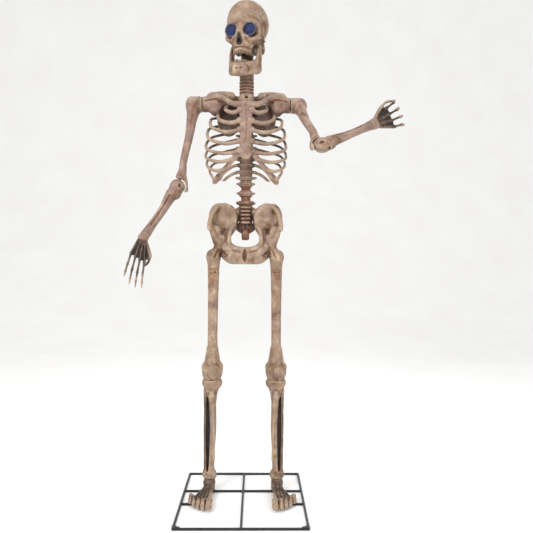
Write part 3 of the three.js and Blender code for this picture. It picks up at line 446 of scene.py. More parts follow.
def pelvis_clay():
    wide = span("pelvis")[1][0]
    c = Clay((-wide, -150, COLLAR_Z), (wide, 128, PELVIS_TOP), 4.2)
    for s in (1, -1):
        def at(x, y, z):
            return (s * x, y, z)
        hip = LEG_X - 10
        turn = np.array(Matrix.Rotation(math.radians(s * 30), 3, "Z") @ Matrix.Rotation(math.radians(12), 3,
                "X"))
        c.ball(at(172, 30, 2040), (122, 27, 122), 10, turn=turn)
        c.ball(at(150, -22, 2052), (84, 22, 84), 12, carve=True, turn=turn)
        c.sweep([at(74, 84, 2078), at(104, 74, 2124), at(150, 46, PELVIS_TOP - 14), at(205, 12, 2126),
                 at(247, -22, 2064), at(262, -50, 1990), at(259, -62, 1958)],
                [11, 13, 15, 15, 15, 16, 17, 15], 10, steps=30)
        c.ball(at(262, -64, 1962), (15, 15, 26), 10)
        c.sweep([at(250, -52, 1960), at(238, -34, 1916), at(214, -16, 1880)], [13, 20, 30], 12)
        c.ball(at(186, -2, 1866), (52, 54, 60), 16)
        c.ball(at(214, -26, 1936), (34, 22, 44), 16)
        c.sweep([at(56, 70, 2086), at(134, 60, 2098)], [26, 26], 12)
        c.sweep([at(74, 84, 2040), at(96, 66, 1976), at(132, 30, 1920), at(170, 6, 1876)], [26, 30, 30, 38],
                14)
        c.ball(at(82, 40, 2052), (22, 16, 30), 10)
        c.sweep([at(104, 10, 1966), at(118, -28, 1900), at(112, -62, 1846), at(70, -92, 1812),
                at(0, -104, 1796)],
                [13, 15, 17, 20, 22], 12, steps=20)
        c.sweep([at(160, -10, 1850), at(122, -58, 1800), at(70, -88, 1762), at(0, -96, 1750)],
                [34, 30, 32, 38], 14)
        c.sweep([at(170, 20, 1830), at(160, 24, 1776), at(130, -8, 1738), at(84, -64, 1724),
                at(0, -90, 1726)],
                [32, 27, 26, 30, 32], 14)
        c.ball(at(92, -96, 1742), (36, 22, 42), 14)
        c.ball(at(112, -70, 1772), (16, 14, 24), 10, carve=True)
        c.sweep([at(18, -130, 1830), at(14, -128, 1700)], [5, 5], 8, carve=True)
        c.sweep([at(172, -4, 1862), at(204, -2, 1812), at(hip + 4, 2, 1760)], [40, 31, 38], 16)
        c.ball(at(hip + 26, 8, 1762), (27, 34, 36), 16)
        c.ball(at(hip + 4, 0, 1746), (47, 46, 54), 16)
        c.sweep([at(hip, 0, 1740), at(hip, 0, COLLAR_Z - 20)], [50, 45, 44], 16)
        c.ball(at(hip + 34, -24, 1716), (10, 14, 22), 10)
        c.sweep([at(hip - 34, -30, 1800), at(hip - 10, -44, 1748)], [5, 5], 12, carve=True)
        c.stain_and_shade("rust", [at(258, -40, 1940), at(236, -40, 1890), at(218, -30, 1840), at(236, -30, 1800)],
                [5, 10, 14, 8])
        c.stain_and_shade("rust", [at(84, 74, 2100), at(74, 60, 2030), at(100, 20, 1960)], [18, 18, 12])
        c.stain_and_shade("rust", [at(140, -20, 1740), at(170, -40, 1790)], [10, 8])
        c.stain_and_shade("rust", [at(110, -50, 1850), at(100, -70, 1830)], [10, 12])
        # near-black inside the pelvis: painted shade
        c.stain_and_shade("dark_paint_and_shade", [at(104, 30, 1990), at(116, 20, 1900), at(100, 0, 1850)], [10, 12, 10])
        c.stain_and_shade("rust", [at(hip - 46, -8, COLLAR_Z + 2), at(hip, -50, COLLAR_Z + 2),
                at(hip + 46, -8, COLLAR_Z + 2)], [5, 5, 5])
        c.stain_and_shade("rust", [at(180, 10, 1990), at(196, -10, 1930)], [16, 12])
    c.ball((0, -124, 1760), (13, 20, 56), 12, carve=True)
    c.keep(2, COLLAR_Z, PELVIS_TOP)
    level_pelvis_sole(c)
    return c


def level_pelvis_sole(c):
    """The pubis is cut level; only the thigh heads reach below it."""
    x, _, z = c.axes()
    inner = np.abs(x[:, 0, 0]) < PUBIS_HALF_WIDTH
    c.d[inner] = np.maximum(c.d[inner], (PELVIS_BOTTOM - z).astype(np.float32))


def sacrum_clay():
    low, high = span("sacrum")
    c = Clay((-88, low[1] - 16, low[2]), (88, high[1] + 6, high[2]), 3.2)
    y = SPINE_Y
    c.sweep([(0, y + 8, high[2] + 10), (0, y + 14, 2060), (0, y + 16, 1990), (0, y + 2, low[2] + 8)],
            [50, 52, 50, 34, 20], 0, flat=0.6, up=(0, 1, 0), steps=20)
    c.ball((0, y + 14, 1972), (74, 26, 46), 16)
    for s in (1, -1):
        c.ball((s * 58, y + 22, 2080), (30, 24, 46), 14)
        c.ball((s * 34, y - 16, 1990), (9, 14, 16), 6, carve=True)
        c.ball((s * 30, y - 14, 1950), (7, 12, 12), 6, carve=True)
        # painted shade round the front holes and the upper front of the sacrum
        c.stain_and_shade("painted_shade", [(s * 60, y - 8, 1990), (s * 52, y - 6, 1940)], [20, 22])
        c.stain_and_shade("painted_shade", [(s * 46, y - 4, 2090), (s * 44, y, 2020)], [14, 14])
    for z in (2122, 2094, 2066, 2038, 2010):
        c.ball((0, y - 18, z), (40, 24, 13), 6)
        c.sweep([(-34, y - 30, z - 14), (0, y - 44, z - 14), (34, y - 30, z - 14)], [1.6, 2, 1.6], 4,
                carve=True)
    c.ball((0, y - 14, 1906), (30, 20, 50), 12)
    c.sweep([(-40, y - 8, 1916), (0, y - 34, 1912), (40, y - 8, 1916)], [2.5, 3, 2.5], 3, carve=True)
    c.stain_and_shade("rust", [(0, y - 20, 1960), (0, y - 14, low[2])], [44, 34])
    c.stain_and_shade("rust", [(0, y - 30, 2090), (0, y - 30, 2020)], [12, 16])
    c.keep(2, low[2], high[2])
    return c


def lumbar_clay():
    low, high = span("lumbar_spine")
    c = Clay((-84, low[1] - 6, low[2]), (84, high[1] + 10, high[2]), 2.8)
    y, z0 = SPINE_Y, low[2]
    c.sweep([(0, y, z0 - 20), (0, y, high[2] + 20)], [35, 35], 0, steps=2)
    for z, wide, tall in ((z0 + 12, 76, 15), (z0 + 82, 56, 24), (z0 + 153, 56, 22)):
        c.ball((0, y, z), (wide, 54, tall), 8)
        c.ball((0, y, z + 0.7 * tall), (wide * 0.86, 50, tall * 0.5), 4)
        c.ball((0, y, z - 0.7 * tall), (wide * 0.86, 50, tall * 0.5), 4)
        c.sweep([(-52, y - 36, z), (0, y - 60, z), (52, y - 36, z)], [2.4, 3, 2.4], 3, carve=True, steps=14)
        c.sweep([(0, y + 36, z), (0, y + 66, z - 12)], [13, 8], 8)
    for z in (z0 + 84, z0 + 155):
        for s in (1, -1):
            c.sweep([(s * 36, y + 4, z), (s * 66, y + 8, z + 3)], [12, 7], 8)
    for z in (z0 + 46, z0 + 118):
        c.stain_and_shade("rust", [(-40, y - 20, z), (0, y - 40, z), (40, y - 20, z)], [20, 20, 20])
    c.stain_and_shade("rust", [(-50, y - 36, z0 + 12), (50, y - 36, z0 + 12)], [16, 16])
    c.keep(2, low[2], high[2])
    return c


def neck_clay():
    low, _ = span("neck")
    seam = neck_mid[2] - 1.2
    c = Clay((-66, NECK_Y - 66, low[2]), (66, NECK_Y + 66, seam), 2.8)
    c.sweep([(0, NECK_Y, low[2] - 20), (0, NECK_Y, seam + 20)], [48, 52, 53], 0, steps=4)
    for k in range(5):
        z = low[2] + 16 + 24 * k
        c.ball((0, NECK_Y, z), (57, 56, 12), 5)
        c.sweep([(-50, NECK_Y - 26, z + 12), (0, NECK_Y - 58, z + 12), (50, NECK_Y - 26, z + 12)],
                [2, 2.4, 2], 3, carve=True, steps=12)
        c.stain_and_shade("rust", [(-50, NECK_Y - 26, z + 12), (0, NECK_Y - 58, z + 12), (50, NECK_Y - 26, z + 12)],
                [5, 6, 5])
    c.keep(2, low[2], seam)
    return c


# ---- chest ---------------------------------------------------------------------------------------

STERNUM_Y = -180
STERNUM_LOW, STERNUM_HIGH = 2490, 2878
SPINE_BACK = 95                 # how far back the thoracic spine stands
RIBS = (                        # height in front, height and half width at the side, height behind
    (2794, 2868, 165, 2930, 16), (2719, 2810, 222, 2890, 16), (2653, 2761, 279, 2845, 14.5),
    (2571, 2676, 301, 2790, 14.5), (2500, 2583, 309, 2725, 14), (2440, 2508, 311, 2660, 13.5),
    (2375, 2447, 303, 2590, 13), (2318, 2393, 281, 2520, 12.5))
MARGIN_LOW = 2291


def margin_point(z):
    u = (STERNUM_LOW + 10 - z) / (STERNUM_LOW + 10 - MARGIN_LOW)
    return np.array([42 + 190 * u, STERNUM_Y + 8 + 105 * u, z])


def rib_line(i, s):
    front, side, half, back, thick = RIBS[i]
    end = np.array([34, STERNUM_Y + 2, front]) if i < 5 else margin_point(front + 8)
    line = np.array([
        (24, SPINE_BACK + 12, back), (half * 0.5, SPINE_BACK + 58, back - 22),
        (half * 0.86, SPINE_BACK + 18, (back + side) / 2 + 8), (half - thick, -6, side),
        (half * 0.88, -94, side * 0.42 + front * 0.58 - 12),
        (end[0] + 0.5 * (half * 0.88 - end[0]), -150, front - 12), end])
    line[:, 0] *= s
    return line


def add_rib(c, i, s):
    t = RIBS[i][4]
    thick = [t * k for k in (0.8, 0.8, 0.74, 0.74, 0.84, 1, 1.1)]
    c.sweep(rib_line(i, s), thick, 7, flat=0.95, up=(0, 0.2, 1), steps=30)


def girdle(c, s, front):
    """One side of the shoulder girdle: the socket's block, then the collar bone or the shoulder blade."""
    def at(x, y, z):
        return (s * x, y, z)
    z = SHOULDER_Z
    c.sweep([at(SHOULDER_X + 12, 0, z), at(280, 0, z + 4), at(226, 0, z + 22), at(180, 0, z + 34)],
            [56, 58, 60, 50], 0)
    c.sweep([at(262, 0, 2938), at(190, 4, 2952), at(112, 14, 2952)], [34, 29, 28], 14)
    rim = [at(SHOULDER_X - 3, 57 * math.sin(a), z + 57 * math.cos(a)) for a in np.linspace(0, 2 * math.pi,
            13)]
    # near-black ring round the shoulder socket: painted shade in the gap
    c.stain_and_shade("dark_paint_and_shade", rim, [4, 4])
    # painted shade under the shoulder block
    c.stain_and_shade("painted_shade", [at(300, -20, 2816), at(228, -20, 2790), at(150, -10, 2850)], [24, 30, 30])
    c.ball(at(228, -4, 2868), (52, 46, 74), 20)
    if front:
        c.sweep([at(262, -24, 2918), at(214, -42, 2926), at(164, -78, 2904), at(112, -124, 2862),
                at(66, -152, 2840),
                 at(14, STERNUM_Y + 12, 2840)], [30, 28, 21, 18, 19, 24, 27], 12, steps=26)
        c.sweep([at(300, -52, 2892), at(236, -58, 2904), at(186, -66, 2900)], [3.4, 4, 3.4], 4, carve=True)
        c.stain_and_shade("rust", [at(316, -46, 2846), at(270, -50, 2822), at(226, -48, 2806)], [16, 18, 16])
        c.stain_and_shade("rust", [at(300, -52, 2892), at(236, -58, 2902), at(186, -66, 2900)], [7, 8, 7])
        # near-black in the hollow above the collar bone: painted shade
        c.stain_and_shade("dark_paint_and_shade", [at(104, -30, 2930), at(120, -50, 2890)], [16, 16])
    else:
        c.sweep([at(262, 14, 2912), at(196, 50, 2944), at(120, 80, 2952), at(44, SPINE_BACK, 2940)],
                [32, 30, 28, 30], 14)
        c.ball(at(136, 104, 2792), (88, 13, 124), 10)
        # painted shade over the shoulder blade plate
        c.stain_and_shade("painted_shade", [at(130, 96, 2880), at(132, 96, 2700)], [84, 74], flat=0.4, up=(0, 1, 0))
        c.sweep([at(246, 60, 2880), at(206, 116, 2800), at(150, 132, 2692)], [10, 9, 8], 10)
        c.sweep([at(70, 134, 2905), at(150, 142, 2900), at(240, 60, 2922)], [10, 15, 16], 12)
        # near-black beside the neck: painted shade
        c.stain_and_shade("dark_paint_and_shade", [at(84, 30, 2930), at(110, 20, 2900)], [20, 16])


def chest_front_clay():
    c = Clay((-SHOULDER_X - 4, -202, 2280), (SHOULDER_X + 4, CHEST_SEAM_Y, 2975), 4.0)
    c.sweep([(0, STERNUM_Y + 20, 2850), (0, STERNUM_Y + 6, 2800), (0, STERNUM_Y, 2660),
             (0, STERNUM_Y, STERNUM_LOW - 4)], [30, 50, 47, 43, 41, 42, 44], 0, flat=0.42, up=(0, 1,
                     0), steps=26)
    c.ball((0, STERNUM_Y + 10, STERNUM_HIGH + 6), (24, 24, 16), 8, carve=True)
    for s in (1, -1):
        for i in range(len(RIBS)):
            add_rib(c, i, s)
            if i < 5:
                c.ball((s * 47, STERNUM_Y + 1, RIBS[i][0] + 1), (17, 13, 21), 6)
        down = [margin_point(z) for z in (2500, 2440, 2370, 2310, MARGIN_LOW)]
        for p in down:
            p[0] *= s
        c.sweep([(s * 8, STERNUM_Y, 2516)] + down, [22, 22, 19, 18, 22, 24, 12], 10, flat=0.5, up=(0, 1, 0),
                steps=26)
        girdle(c, s, True)
        # near-black beside and behind the breastbone: painted shade
        c.stain_and_shade("dark_paint_and_shade", [(s * 56, STERNUM_Y + 24, 2700), (s * 60, STERNUM_Y + 24, 2560)], [6, 6])
    for z in (2826, 2690, 2612, 2536):
        c.sweep([(-30, STERNUM_Y - 20, z), (30, STERNUM_Y - 20, z)], [2.4, 2.4], 5, carve=True)
    c.sweep([(-4, STERNUM_Y - 22, 2800), (3, STERNUM_Y - 22, 2660), (-3, STERNUM_Y - 22, 2520)], [4, 4, 4],
            8, carve=True)
    c.stain_and_shade("rust", [(-6, STERNUM_Y - 18, 2840), (6, STERNUM_Y - 18, 2690), (-8, STERNUM_Y - 18, 2560)],
            [5, 7, 5])
    c.keep(1, None, CHEST_SEAM_Y - 0.3)
    c.keep(0, 2 - SHOULDER_X, SHOULDER_X - 2)
    return c


def chest_back_clay():
    low_z = LUMBAR_TOP
    c = Clay((-SHOULDER_X - 4, CHEST_SEAM_Y, low_z), (SHOULDER_X + 4, 178, 2990), 4.2)
    c.sweep([(0, SPINE_Y + 2, low_z - 20), (0, SPINE_Y + 6, 2440), (0, SPINE_BACK, 2640),
            (0, SPINE_BACK, 2800),
             (0, NECK_Y + 16, 2940)], [46, 48, 50, 50, 49, 49], 0, steps=22)
    for k in range(13):
        z = low_z + 20 + 47 * k
        y = np.interp(z, (2325, 2440, 2640, 2800, 2940), (SPINE_Y + 2, SPINE_Y + 6, SPINE_BACK, SPINE_BACK,
                NECK_Y + 16))
        c.ball((0, y, z), (54, 53, 16), 6)
        c.sweep([(0, y + 44, z), (0, y + 74, z - 22)], [12, 8], 8)
        for s in (1, -1):
            c.sweep([(s * 40, y + 10, z), (s * 74, y + 18, z + 5)], [13, 9], 8)
    c.sweep([(0, NECK_Y, 2875), (0, NECK_Y, 2950)], [56, 60], 8)
    for s in (1, -1):
        for i in range(len(RIBS)):
            add_rib(c, i, s)
        for top in (2461, 2404):
            c.sweep([(s * 20, SPINE_BACK - 22, top), (s * 110, SPINE_BACK + 8, top - 24),
                    (s * 172, SPINE_BACK - 12, top - 78),
                     (s * 196, SPINE_BACK - 40, top - 138)], [12, 12, 11, 10, 8], 8, flat=0.75, up=(0, 1, 0))
        girdle(c, s, False)
    # painted shade on the thoracic spine and the back parts of the ribs, inside the chest
    c.stain_and_shade("painted_shade", [(0, SPINE_BACK - 40, 2440), (0, SPINE_BACK - 46, 2880)], [70, 80], flat=0.5,
            up=(0, 1, 0))
    for s in (1, -1):
        for i in range(len(RIBS)):
            c.stain_and_shade("painted_shade", rib_line(i, s)[:4], [26, 26, 22, 14])
    c.keep(1, CHEST_SEAM_Y + 0.3, None)
    c.keep(2, low_z + 0.6, 2986)
    c.sweep([(0, NECK_Y, 2940), (0, NECK_Y, 3020)], [54, 60], 0, carve=True, steps=2)
    c.keep(0, 2 - SHOULDER_X, SHOULDER_X - 2)
    return c


# ---- arms ----------------------------------------------------------------------------------------
# Sculpted hanging, in the arm's own axes: x out from the body, y back, z up.

UPPER_LENGTH = np.linalg.norm(ELBOW["right"] - SHOULDER["right"])
FORE_LENGTH = np.linalg.norm(WRIST["right"] - ELBOW["right"])
LEAN = math.asin(abs(ELBOW["right"][0] - SHOULDER["right"][0]) / UPPER_LENGTH)
CARRY = math.asin(abs(WRIST["right"][1] - ELBOW["right"][1]) / FORE_LENGTH)
FORK_RADIUS = 58
TONGUE_HALF = 12                # half the thickness of the upper arm's tongue in the forearm's fork
HALF_SEAM = 0.6                 # half the gap left at a seam between two mouldings


def upper_arm_clay():
    lean = np.array([-math.sin(LEAN), 0, math.cos(LEAN)])
    out = np.array([lean[2], 0, -lean[0]])
    elbow = -lean * UPPER_LENGTH

    def near(up, side, y=0.0):
        return elbow + lean * up + out * side + np.array([0, y, 0])

    c = Clay((0, -66, elbow[2] - 70), (elbow[0] + 66, 66, 66), 3.6)
    c.sweep([(-12, 0, 0), (34, 0, -2), (66, 0, -2), (80, 0, -10)], [55, 58, 57, 44], 0)
    c.ball((84, -4, 18), (24, 36, 34), 20)
    c.sweep([(60, 0, 4), (72, 0, -78), (97, 0, -240), (135, -4, -420), near(120, -2), near(78, -4),
            near(34, -8)],
            [44, 50, 36, 30.5, 28, 26.5, 27, 29, 30, 29], 16, steps=36)
    c.sweep([(88, -14, -90), (102, -18, -220)], [18, 10], 18)
    c.sweep([near(150, -10), near(100, -22), near(56, -42), near(10, -62)], [12, 17, 20, 18], 16)
    c.ball(near(-2, -66), (19, 26, 22), 8)
    c.sweep([near(120, 14), near(74, 22)], [10, 12], 14)
    c.sweep([near(86, -26, -40), near(120, -8, -34)], [7, 4], 8, carve=True)
    x, y, z = c.axes()
    around = np.sqrt((x - elbow[0]) ** 2 + (z - elbow[2]) ** 2)
    c.d = np.maximum(c.d, FORK_RADIUS + 5.5 - around)
    tongue = np.maximum(around - (FORK_RADIUS - 4), np.abs(y) - TONGUE_HALF)
    c.d = np.minimum(c.d, tongue.astype(np.float32))
    c.sweep([near(20, 0), near(84, -2)], [TONGUE_HALF - 1, TONGUE_HALF - 1], 0)
    c.keep(0, 2.0, None)
    c.ball((26, 0, 62), (9.5, 9.5, 10), 1.5, carve=True)
    # near-black in the pin hole and at the inner end: painted shade
    c.stain_and_shade("dark_paint_and_shade", [(26, 0, 60), (26, 0, 52)], [9, 9])
    c.stain_and_shade("dark_paint_and_shade", [(3, 0, 50), (3, 40, 30)], [5, 5])
    c.stain_and_shade("rust", [(60, -40, -40), (80, -34, -150)], [16, 8])
    c.stain_and_shade("rust", [near(90, -4, -30), near(60, -30, -26)], [14, 12])
    return c


def forearm_clay():
    tip = np.array([0, -math.sin(CARRY), -math.cos(CARRY)]) * FORE_LENGTH

    def along(u, x=0.0, y=0.0):
        return tip * u + np.array([x, y, 0])

    c = Clay((-66, tip[1] - 44, tip[2] - 8), (66, 48, 62), 3.4)
    c.ball((0, 0, 0), (FORK_RADIUS, 44, FORK_RADIUS), 0)
    c.ball((0, 0, -14), (48, 45, 56), 12)
    c.sweep([along(0.09, 2), along(0.22, 2), along(0.42, -6), along(0.62, -8), along(0.84, -3), along(1.04)],
            [40, 46, 40, 33, 29, 27, 28, 34, 39], 14, flat=0.86, up=(0, 1, 0), steps=34)
    c.sweep([along(0.16, 24, -10), along(0.5, 14, -10), along(0.86, 16, -6)], [16, 9, 10], 14, steps=14)
    c.ball((-40, -4, -52), (20, 27, 34), 14)
    c.sweep([along(0.2, 6, -34), along(0.5, 2, -24), along(0.8, 4, -22)], [5, 4, 4], 12, carve=True)
    c.ball((26, -30, -8), (18, 10, 22), 12)
    c.ball((-16, -34, 14), (12, 8, 16), 10, carve=True)
    x, y, z = c.axes()
    slot = np.maximum(np.sqrt(x ** 2 + z ** 2) - (FORK_RADIUS + 4), np.abs(y) - TONGUE_HALF - 0.8)
    c.d = np.maximum(c.d, -slot.astype(np.float32))
    axis = tip / FORE_LENGTH
    reach = x * axis[0] + y * axis[1] + z * axis[2]
    c.d = np.maximum(c.d, (reach - (FORE_LENGTH - HALF_SEAM)).astype(np.float32))
    c.stain_and_shade("rust", [(-30, -36, 30), (10, -38, 44), (40, -32, 20)], [5, 6, 5])
    c.stain_and_shade("rust", [along(0.1, -20, -38), along(0.3, -6, -30)], [10, 5])
    return c


PALM, FINGER = 176, 205
CURL = {"right": (4, 12, 16), "left": (88, 34, 30)}
PALM_LEAN = {"right": 0.36, "left": 0.0}
KNUCKLE_PITCH = {"right": 38, "left": 47}
GRASP_TURN = 130               # how far the grasping hand is turned about its own wrist
THUMB = {"right": [(-84, 28, -156), (-66, 36, -192)], "left": [(-104, 36, -156), (-92, 62, -198)]}


def finger_bones(x, spread, length, curl):
    at, angle, line = np.array([x, 0.0, -PALM]), 0.0, [np.array([x, 0.0, -PALM])]
    for share, turn in zip((0.45, 0.32, 0.23), curl):
        angle += math.radians(turn)
        at = at + np.array([spread * share, math.sin(angle) * length * share,
                -math.cos(angle) * length * share])
        line.append(at)
    return line


def hand_clay(side):
    c = Clay((-236, -28, -400), (100, 200, 0), 2.8)

    def at(x, y, z):
        return np.array([x - PALM_LEAN[side] * max(0.0, -44 - z), y, z])

    c.sweep([(0, 0, 12), (0, 0, -26)], [34, 38], 0, flat=0.84, up=(0, 1, 0))
    for i in range(4):
        c.ball(at(-27 + 18 * i, 2, -40 - 3 * (i in (1, 2))), (12, 15, 13), 6)
        c.ball(at(-24 + 16 * i, 2, -62), (11, 13, 12), 6)
    for i, k in enumerate((-1.5, -0.5, 0.5, 1.5)):
        x = KNUCKLE_PITCH[side] * k
        c.sweep([at(x * 0.5, 1, -64), at(x * 0.78, -4, -118), at(x, 0, -PALM + 4)], [10.5, 8, 8.5, 11], 4)
        length = FINGER * (0.86, 0.98, 1.0, 0.84)[i]
        bones = [at(*p) for p in finger_bones(x, 13 * k, length, CURL[side])]
        c.ball(bones[0], (12.5, 13, 13), 4)
        for j, r in enumerate((9.6, 8.6, 7.4)):
            mid = (bones[j] + bones[j + 1]) / 2
            c.sweep([bones[j], mid, bones[j + 1]], [r, r * 0.72, r * (0.95 if j < 2 else 0.5)], 3, steps=7)
            if j < 2:
                c.ball(bones[j + 1], (r + 0.6, r + 0.6, r + 0.6), 3)
    for k in (-1, 0, 1):
        x = KNUCKLE_PITCH[side] * k
        c.sweep([at(x * 0.6, 3, -70), at(x * 0.95, 2, -PALM + 20)], [12, 21], 3, flat=0.26, up=(0, 1, 0))
        for y in (-7, 9):
            # near-black under the webs between the metacarpals: the figure's dark paint, deepened as painted
            # shade
            c.stain_and_shade("dark_paint_and_shade", [at(x * 0.62, y, -76), at(x * 0.98, y, -PALM + 10)], [5, 14])
    thumb = [at(-24, 4, -38), at(-62, 12, -74), at(-88, 20, -116)] + [at(*p) for p in THUMB[side]]
    c.sweep(thumb[:3], [13, 9.5, 12], 6)
    c.ball(thumb[2], (12, 12, 13), 3)
    c.sweep(thumb[2:], [10.5, 8, 9.5, 6.5], 3)
    c.sweep([at(-38, 6, -66), at(-62, 8, -112), at(-68, 8, -136)], [10, 22, 20], 4, flat=0.26, up=(0, 1, 0))
    for y in (-2, 14):
        # near-black under the thumb's web: the figure's dark paint, deepened as painted shade
        c.stain_and_shade("dark_paint_and_shade", [at(-40, y, -76), at(-64, y, -128)], [7, 18])
    # painted shade down the middle of the hand onto the curled fingers
    c.stain_and_shade("painted_shade", [at(0, 0, -70), at(0, 10, -PALM), at(0, 60, -PALM - 40)], [40, 80, 110])
    c.keep(2, None, -HALF_SEAM)
    return c


# ---- head ----------------------------------------------------------------------------------------
# Sculpted in the head's own axes: x to the figure's left, y back, z up, from the neck joint.

EYE_X, EYE_Y, EYE_Z = 69, -152, 300


def skull_clay():
    c = Clay((-146, -214, 1), (146, 200, 594), 3.2)
    lean = np.array(Matrix.Rotation(math.radians(-8), 3, "X"))
    c.ball((0, 8, 392), (151, 190, 156), 0, turn=lean)
    c.ball((0, -52, 366), (130, 124, 124), 24)
    c.ball((0, 30, 256), (106, 128, 88), 30)
    c.ball((0, -84, 300), (120, 86, 104), 22)
    c.ball((0, -104, 350), (98, 64, 62), 26)
    c.sweep([(0, -104, 272), (0, -106, 234), (0, -103, 214)], [88, 82, 80], 20)
    c.sweep([(0, 0, 200), (0, 0, 40), (0, 0, 0)], [46, 52, 54], 16)
    for s in (1, -1):
        c.sweep([(s * 14, -158, 346), (s * 46, -160, 356), (s * 92, -140, 352), (s * 122, -100, 330),
                (s * 128, -80, 296)],
                [9, 12, 12, 12, 11], 22)
        c.sweep([(s * 124, -92, 306), (s * 118, -116, 262), (s * 94, -138, 236), (s * 60, -152, 214)],
                [12, 14, 15, 12], 18)
        c.sweep([(s * 110, -116, 252), (s * 136, -66, 254), (s * 138, -14, 262), (s * 124, 22, 268)],
                [15, 12, 11, 14], 12)
        c.ball((s * 144, -30, 318), (26, 62, 62), 30, carve=True)
        c.ball((s * 128, -60, 216), (30, 46, 40), 16, carve=True)
        c.ball((s * 92, 60, 222), (27, 36, 44), 24)
        c.sweep([(s * 120, 30, 236), (s * 118, 14, 196)], [7, 7], 8, carve=True)
        c.sweep([(s * 112, 4, 250), (s * 104, -20, 214)], [12, 10], 8, carve=True)
        c.ball((s * EYE_X, EYE_Y - 26, EYE_Z), (49, 34, 49), 8, carve=True)
        c.sweep([(s * 46, -176, 238), (s * 66, -160, 206)], [6, 8], 12, carve=True)
        # near-black in the ear holes and behind the cheekbones: painted shade
        c.stain_and_shade("dark_paint_and_shade", [(s * 122, 26, 240), (s * 118, 10, 196)], [14, 16])
        c.stain_and_shade("dark_paint_and_shade", [(s * 118, 2, 244), (s * 104, -18, 214)], [12, 12])
        c.stain_and_shade("dark_paint_and_shade", [(s * 90, -90, 160), (s * 92, -50, 190)], [28, 34])
        # painted shade under the back of the skull
        c.stain_and_shade("painted_shade", [(s * 96, 40, 190), (s * 60, 60, 150)], [34, 50])
        c.stain_and_shade("rust", [(s * 14, -180, 330), (s * 34, -180, 348)], [8, 6])
        c.stain_and_shade("rust", [(s * 34, -190, 232), (s * 70, -168, 222), (s * 104, -130, 226)], [7, 9, 7])
        c.stain_and_shade("rust", [(s * 118, -70, 300), (s * 128, -20, 310), (s * 116, 20, 280)], [12, 12, 10])
    c.sweep([(0, -212, 274), (0, -212, 244), (0, -206, 216)], [10, 17, 25], 4, carve=True)
    c.sweep([(0, -176, 262), (0, -168, 218)], [8, 18], 4, carve=True)
    c.sweep([(0, -176, 288), (0, -170, 322)], [20, 24], 18)
    c.ball((0, -60, 140), (54, 78, 40), 8, carve=True)
    gum = [(62, -104, 158), (49, -145, 158), (24, -169, 158), (0, -175, 158), (-24, -169, 158),
            (-49, -145, 158),
           (-62, -104, 158)]
    c.sweep(gum, [10, 10, 10, 10, 10, 10, 10], 10, flat=1.2)
    c.keep(2, None, 594)
    # near-black in the nose hole and under the skull above the jaw: painted shade
    c.stain_and_shade("dark_paint_and_shade", [(0, -186, 270), (0, -190, 242), (0, -184, 214)], [12, 19, 26])
    c.stain_and_shade("dark_paint_and_shade", [(0, -40, 150), (0, -90, 150)], [44, 44])
    c.stain_and_shade("rust", [(-40, -150, 470), (-62, -120, 500)], [10, 4])
    open_door_well(c)
    return c


DOOR_HALF, DOOR_LOW, DOOR_HIGH, WELL_FLOOR = 48, 350.5, 447.5, 140


def open_door_well(c):
    """Leaves a well behind the battery door, square to the head and not to the turned face."""
    x, y, z = c.axes()
    turn = math.radians(FACE_TURN)
    across = x * math.cos(turn) - y * math.sin(turn)
    back = x * math.sin(turn) + y * math.cos(turn)
    well = np.maximum(np.maximum(np.abs(across) - DOOR_HALF, WELL_FLOOR - back),
                      np.maximum(DOOR_LOW - z, z - DOOR_HIGH))
    c.d = np.maximum(c.d, -well.astype(np.float32))


def jaw_clay():
    c = Clay((-132, -222, -26), (132, 16, 238), 2.8)
    for s in (1, -1):
        c.sweep([(s * 108, HINGE_Y, HINGE_Z), (s * 108, -34, 156), (s * 104, -40, 98), (s * 98, -56, 52)],
                [20, 38, 50, 50, 42], 0, flat=0.3, up=(1, 0, 0), steps=16)
        c.ball((s * 108, HINGE_Y, HINGE_Z), (15, 20, 20), 12)
        c.sweep([(s * 104, -62, 176), (s * 102, -48, 130)], [6, 16], 14)
        c.sweep([(s * 98, -44, 68), (s * 88, -94, 50), (s * 62, -134, 34), (s * 28, -160, 24), (0, -166, 22)],
                [50, 50, 47, 45, 45, 46], 14, flat=0.42, up=(0.75 * s, -0.66, 0), steps=18)
        c.ball((s * 101, -46, 78), (17, 44, 48), 14)
        c.ball((s * 22, -174, 0), (22, 14, 20), 12)
    gum = [(58, -108, 58), (43, -142, 56), (21, -164, 56), (0, -170, 56), (-21, -164, 56), (-43, -142, 56),
            (-58, -108, 58)]
    c.sweep(gum, [11, 12, 13, 13, 13, 12, 11], 10, flat=1.1)
    c.sweep([(-26, -188, 30), (0, -194, 26), (26, -188, 30)], [3, 4, 3], 8, carve=True, steps=12)
    c.keep(2, -24, None)
    for s in (1, -1):
        # near-black on the inner sides of the jaw: painted shade
        c.stain_and_shade("dark_paint_and_shade", [(s * 88, -30, 150), (s * 82, -50, 80), (s * 66, -96, 50)], [14, 18, 16])
        c.stain_and_shade("dark_paint_and_shade", [(s * 56, -100, 30), (s * 30, -140, 30)], [20, 22])
        c.stain_and_shade("rust", [(s * 112, -46, 150), (s * 116, -40, 90)], [5, 4])
    return c


# ---- node trees ----------------------------------------------------------------------------------


def add(tree, kind, inputs=None, **settings):
    """Adds a node with its settings; each input is a value or the socket that feeds it."""
    n = tree.nodes.new(kind)
    for key, value in settings.items():
        setattr(n, key, value)
    for key, value in (inputs or {}).items():
        if isinstance(value, bpy.types.NodeSocket):
            tree.links.new(value, n.inputs[key])
        else:
            n.inputs[key].default_value = value
    return n


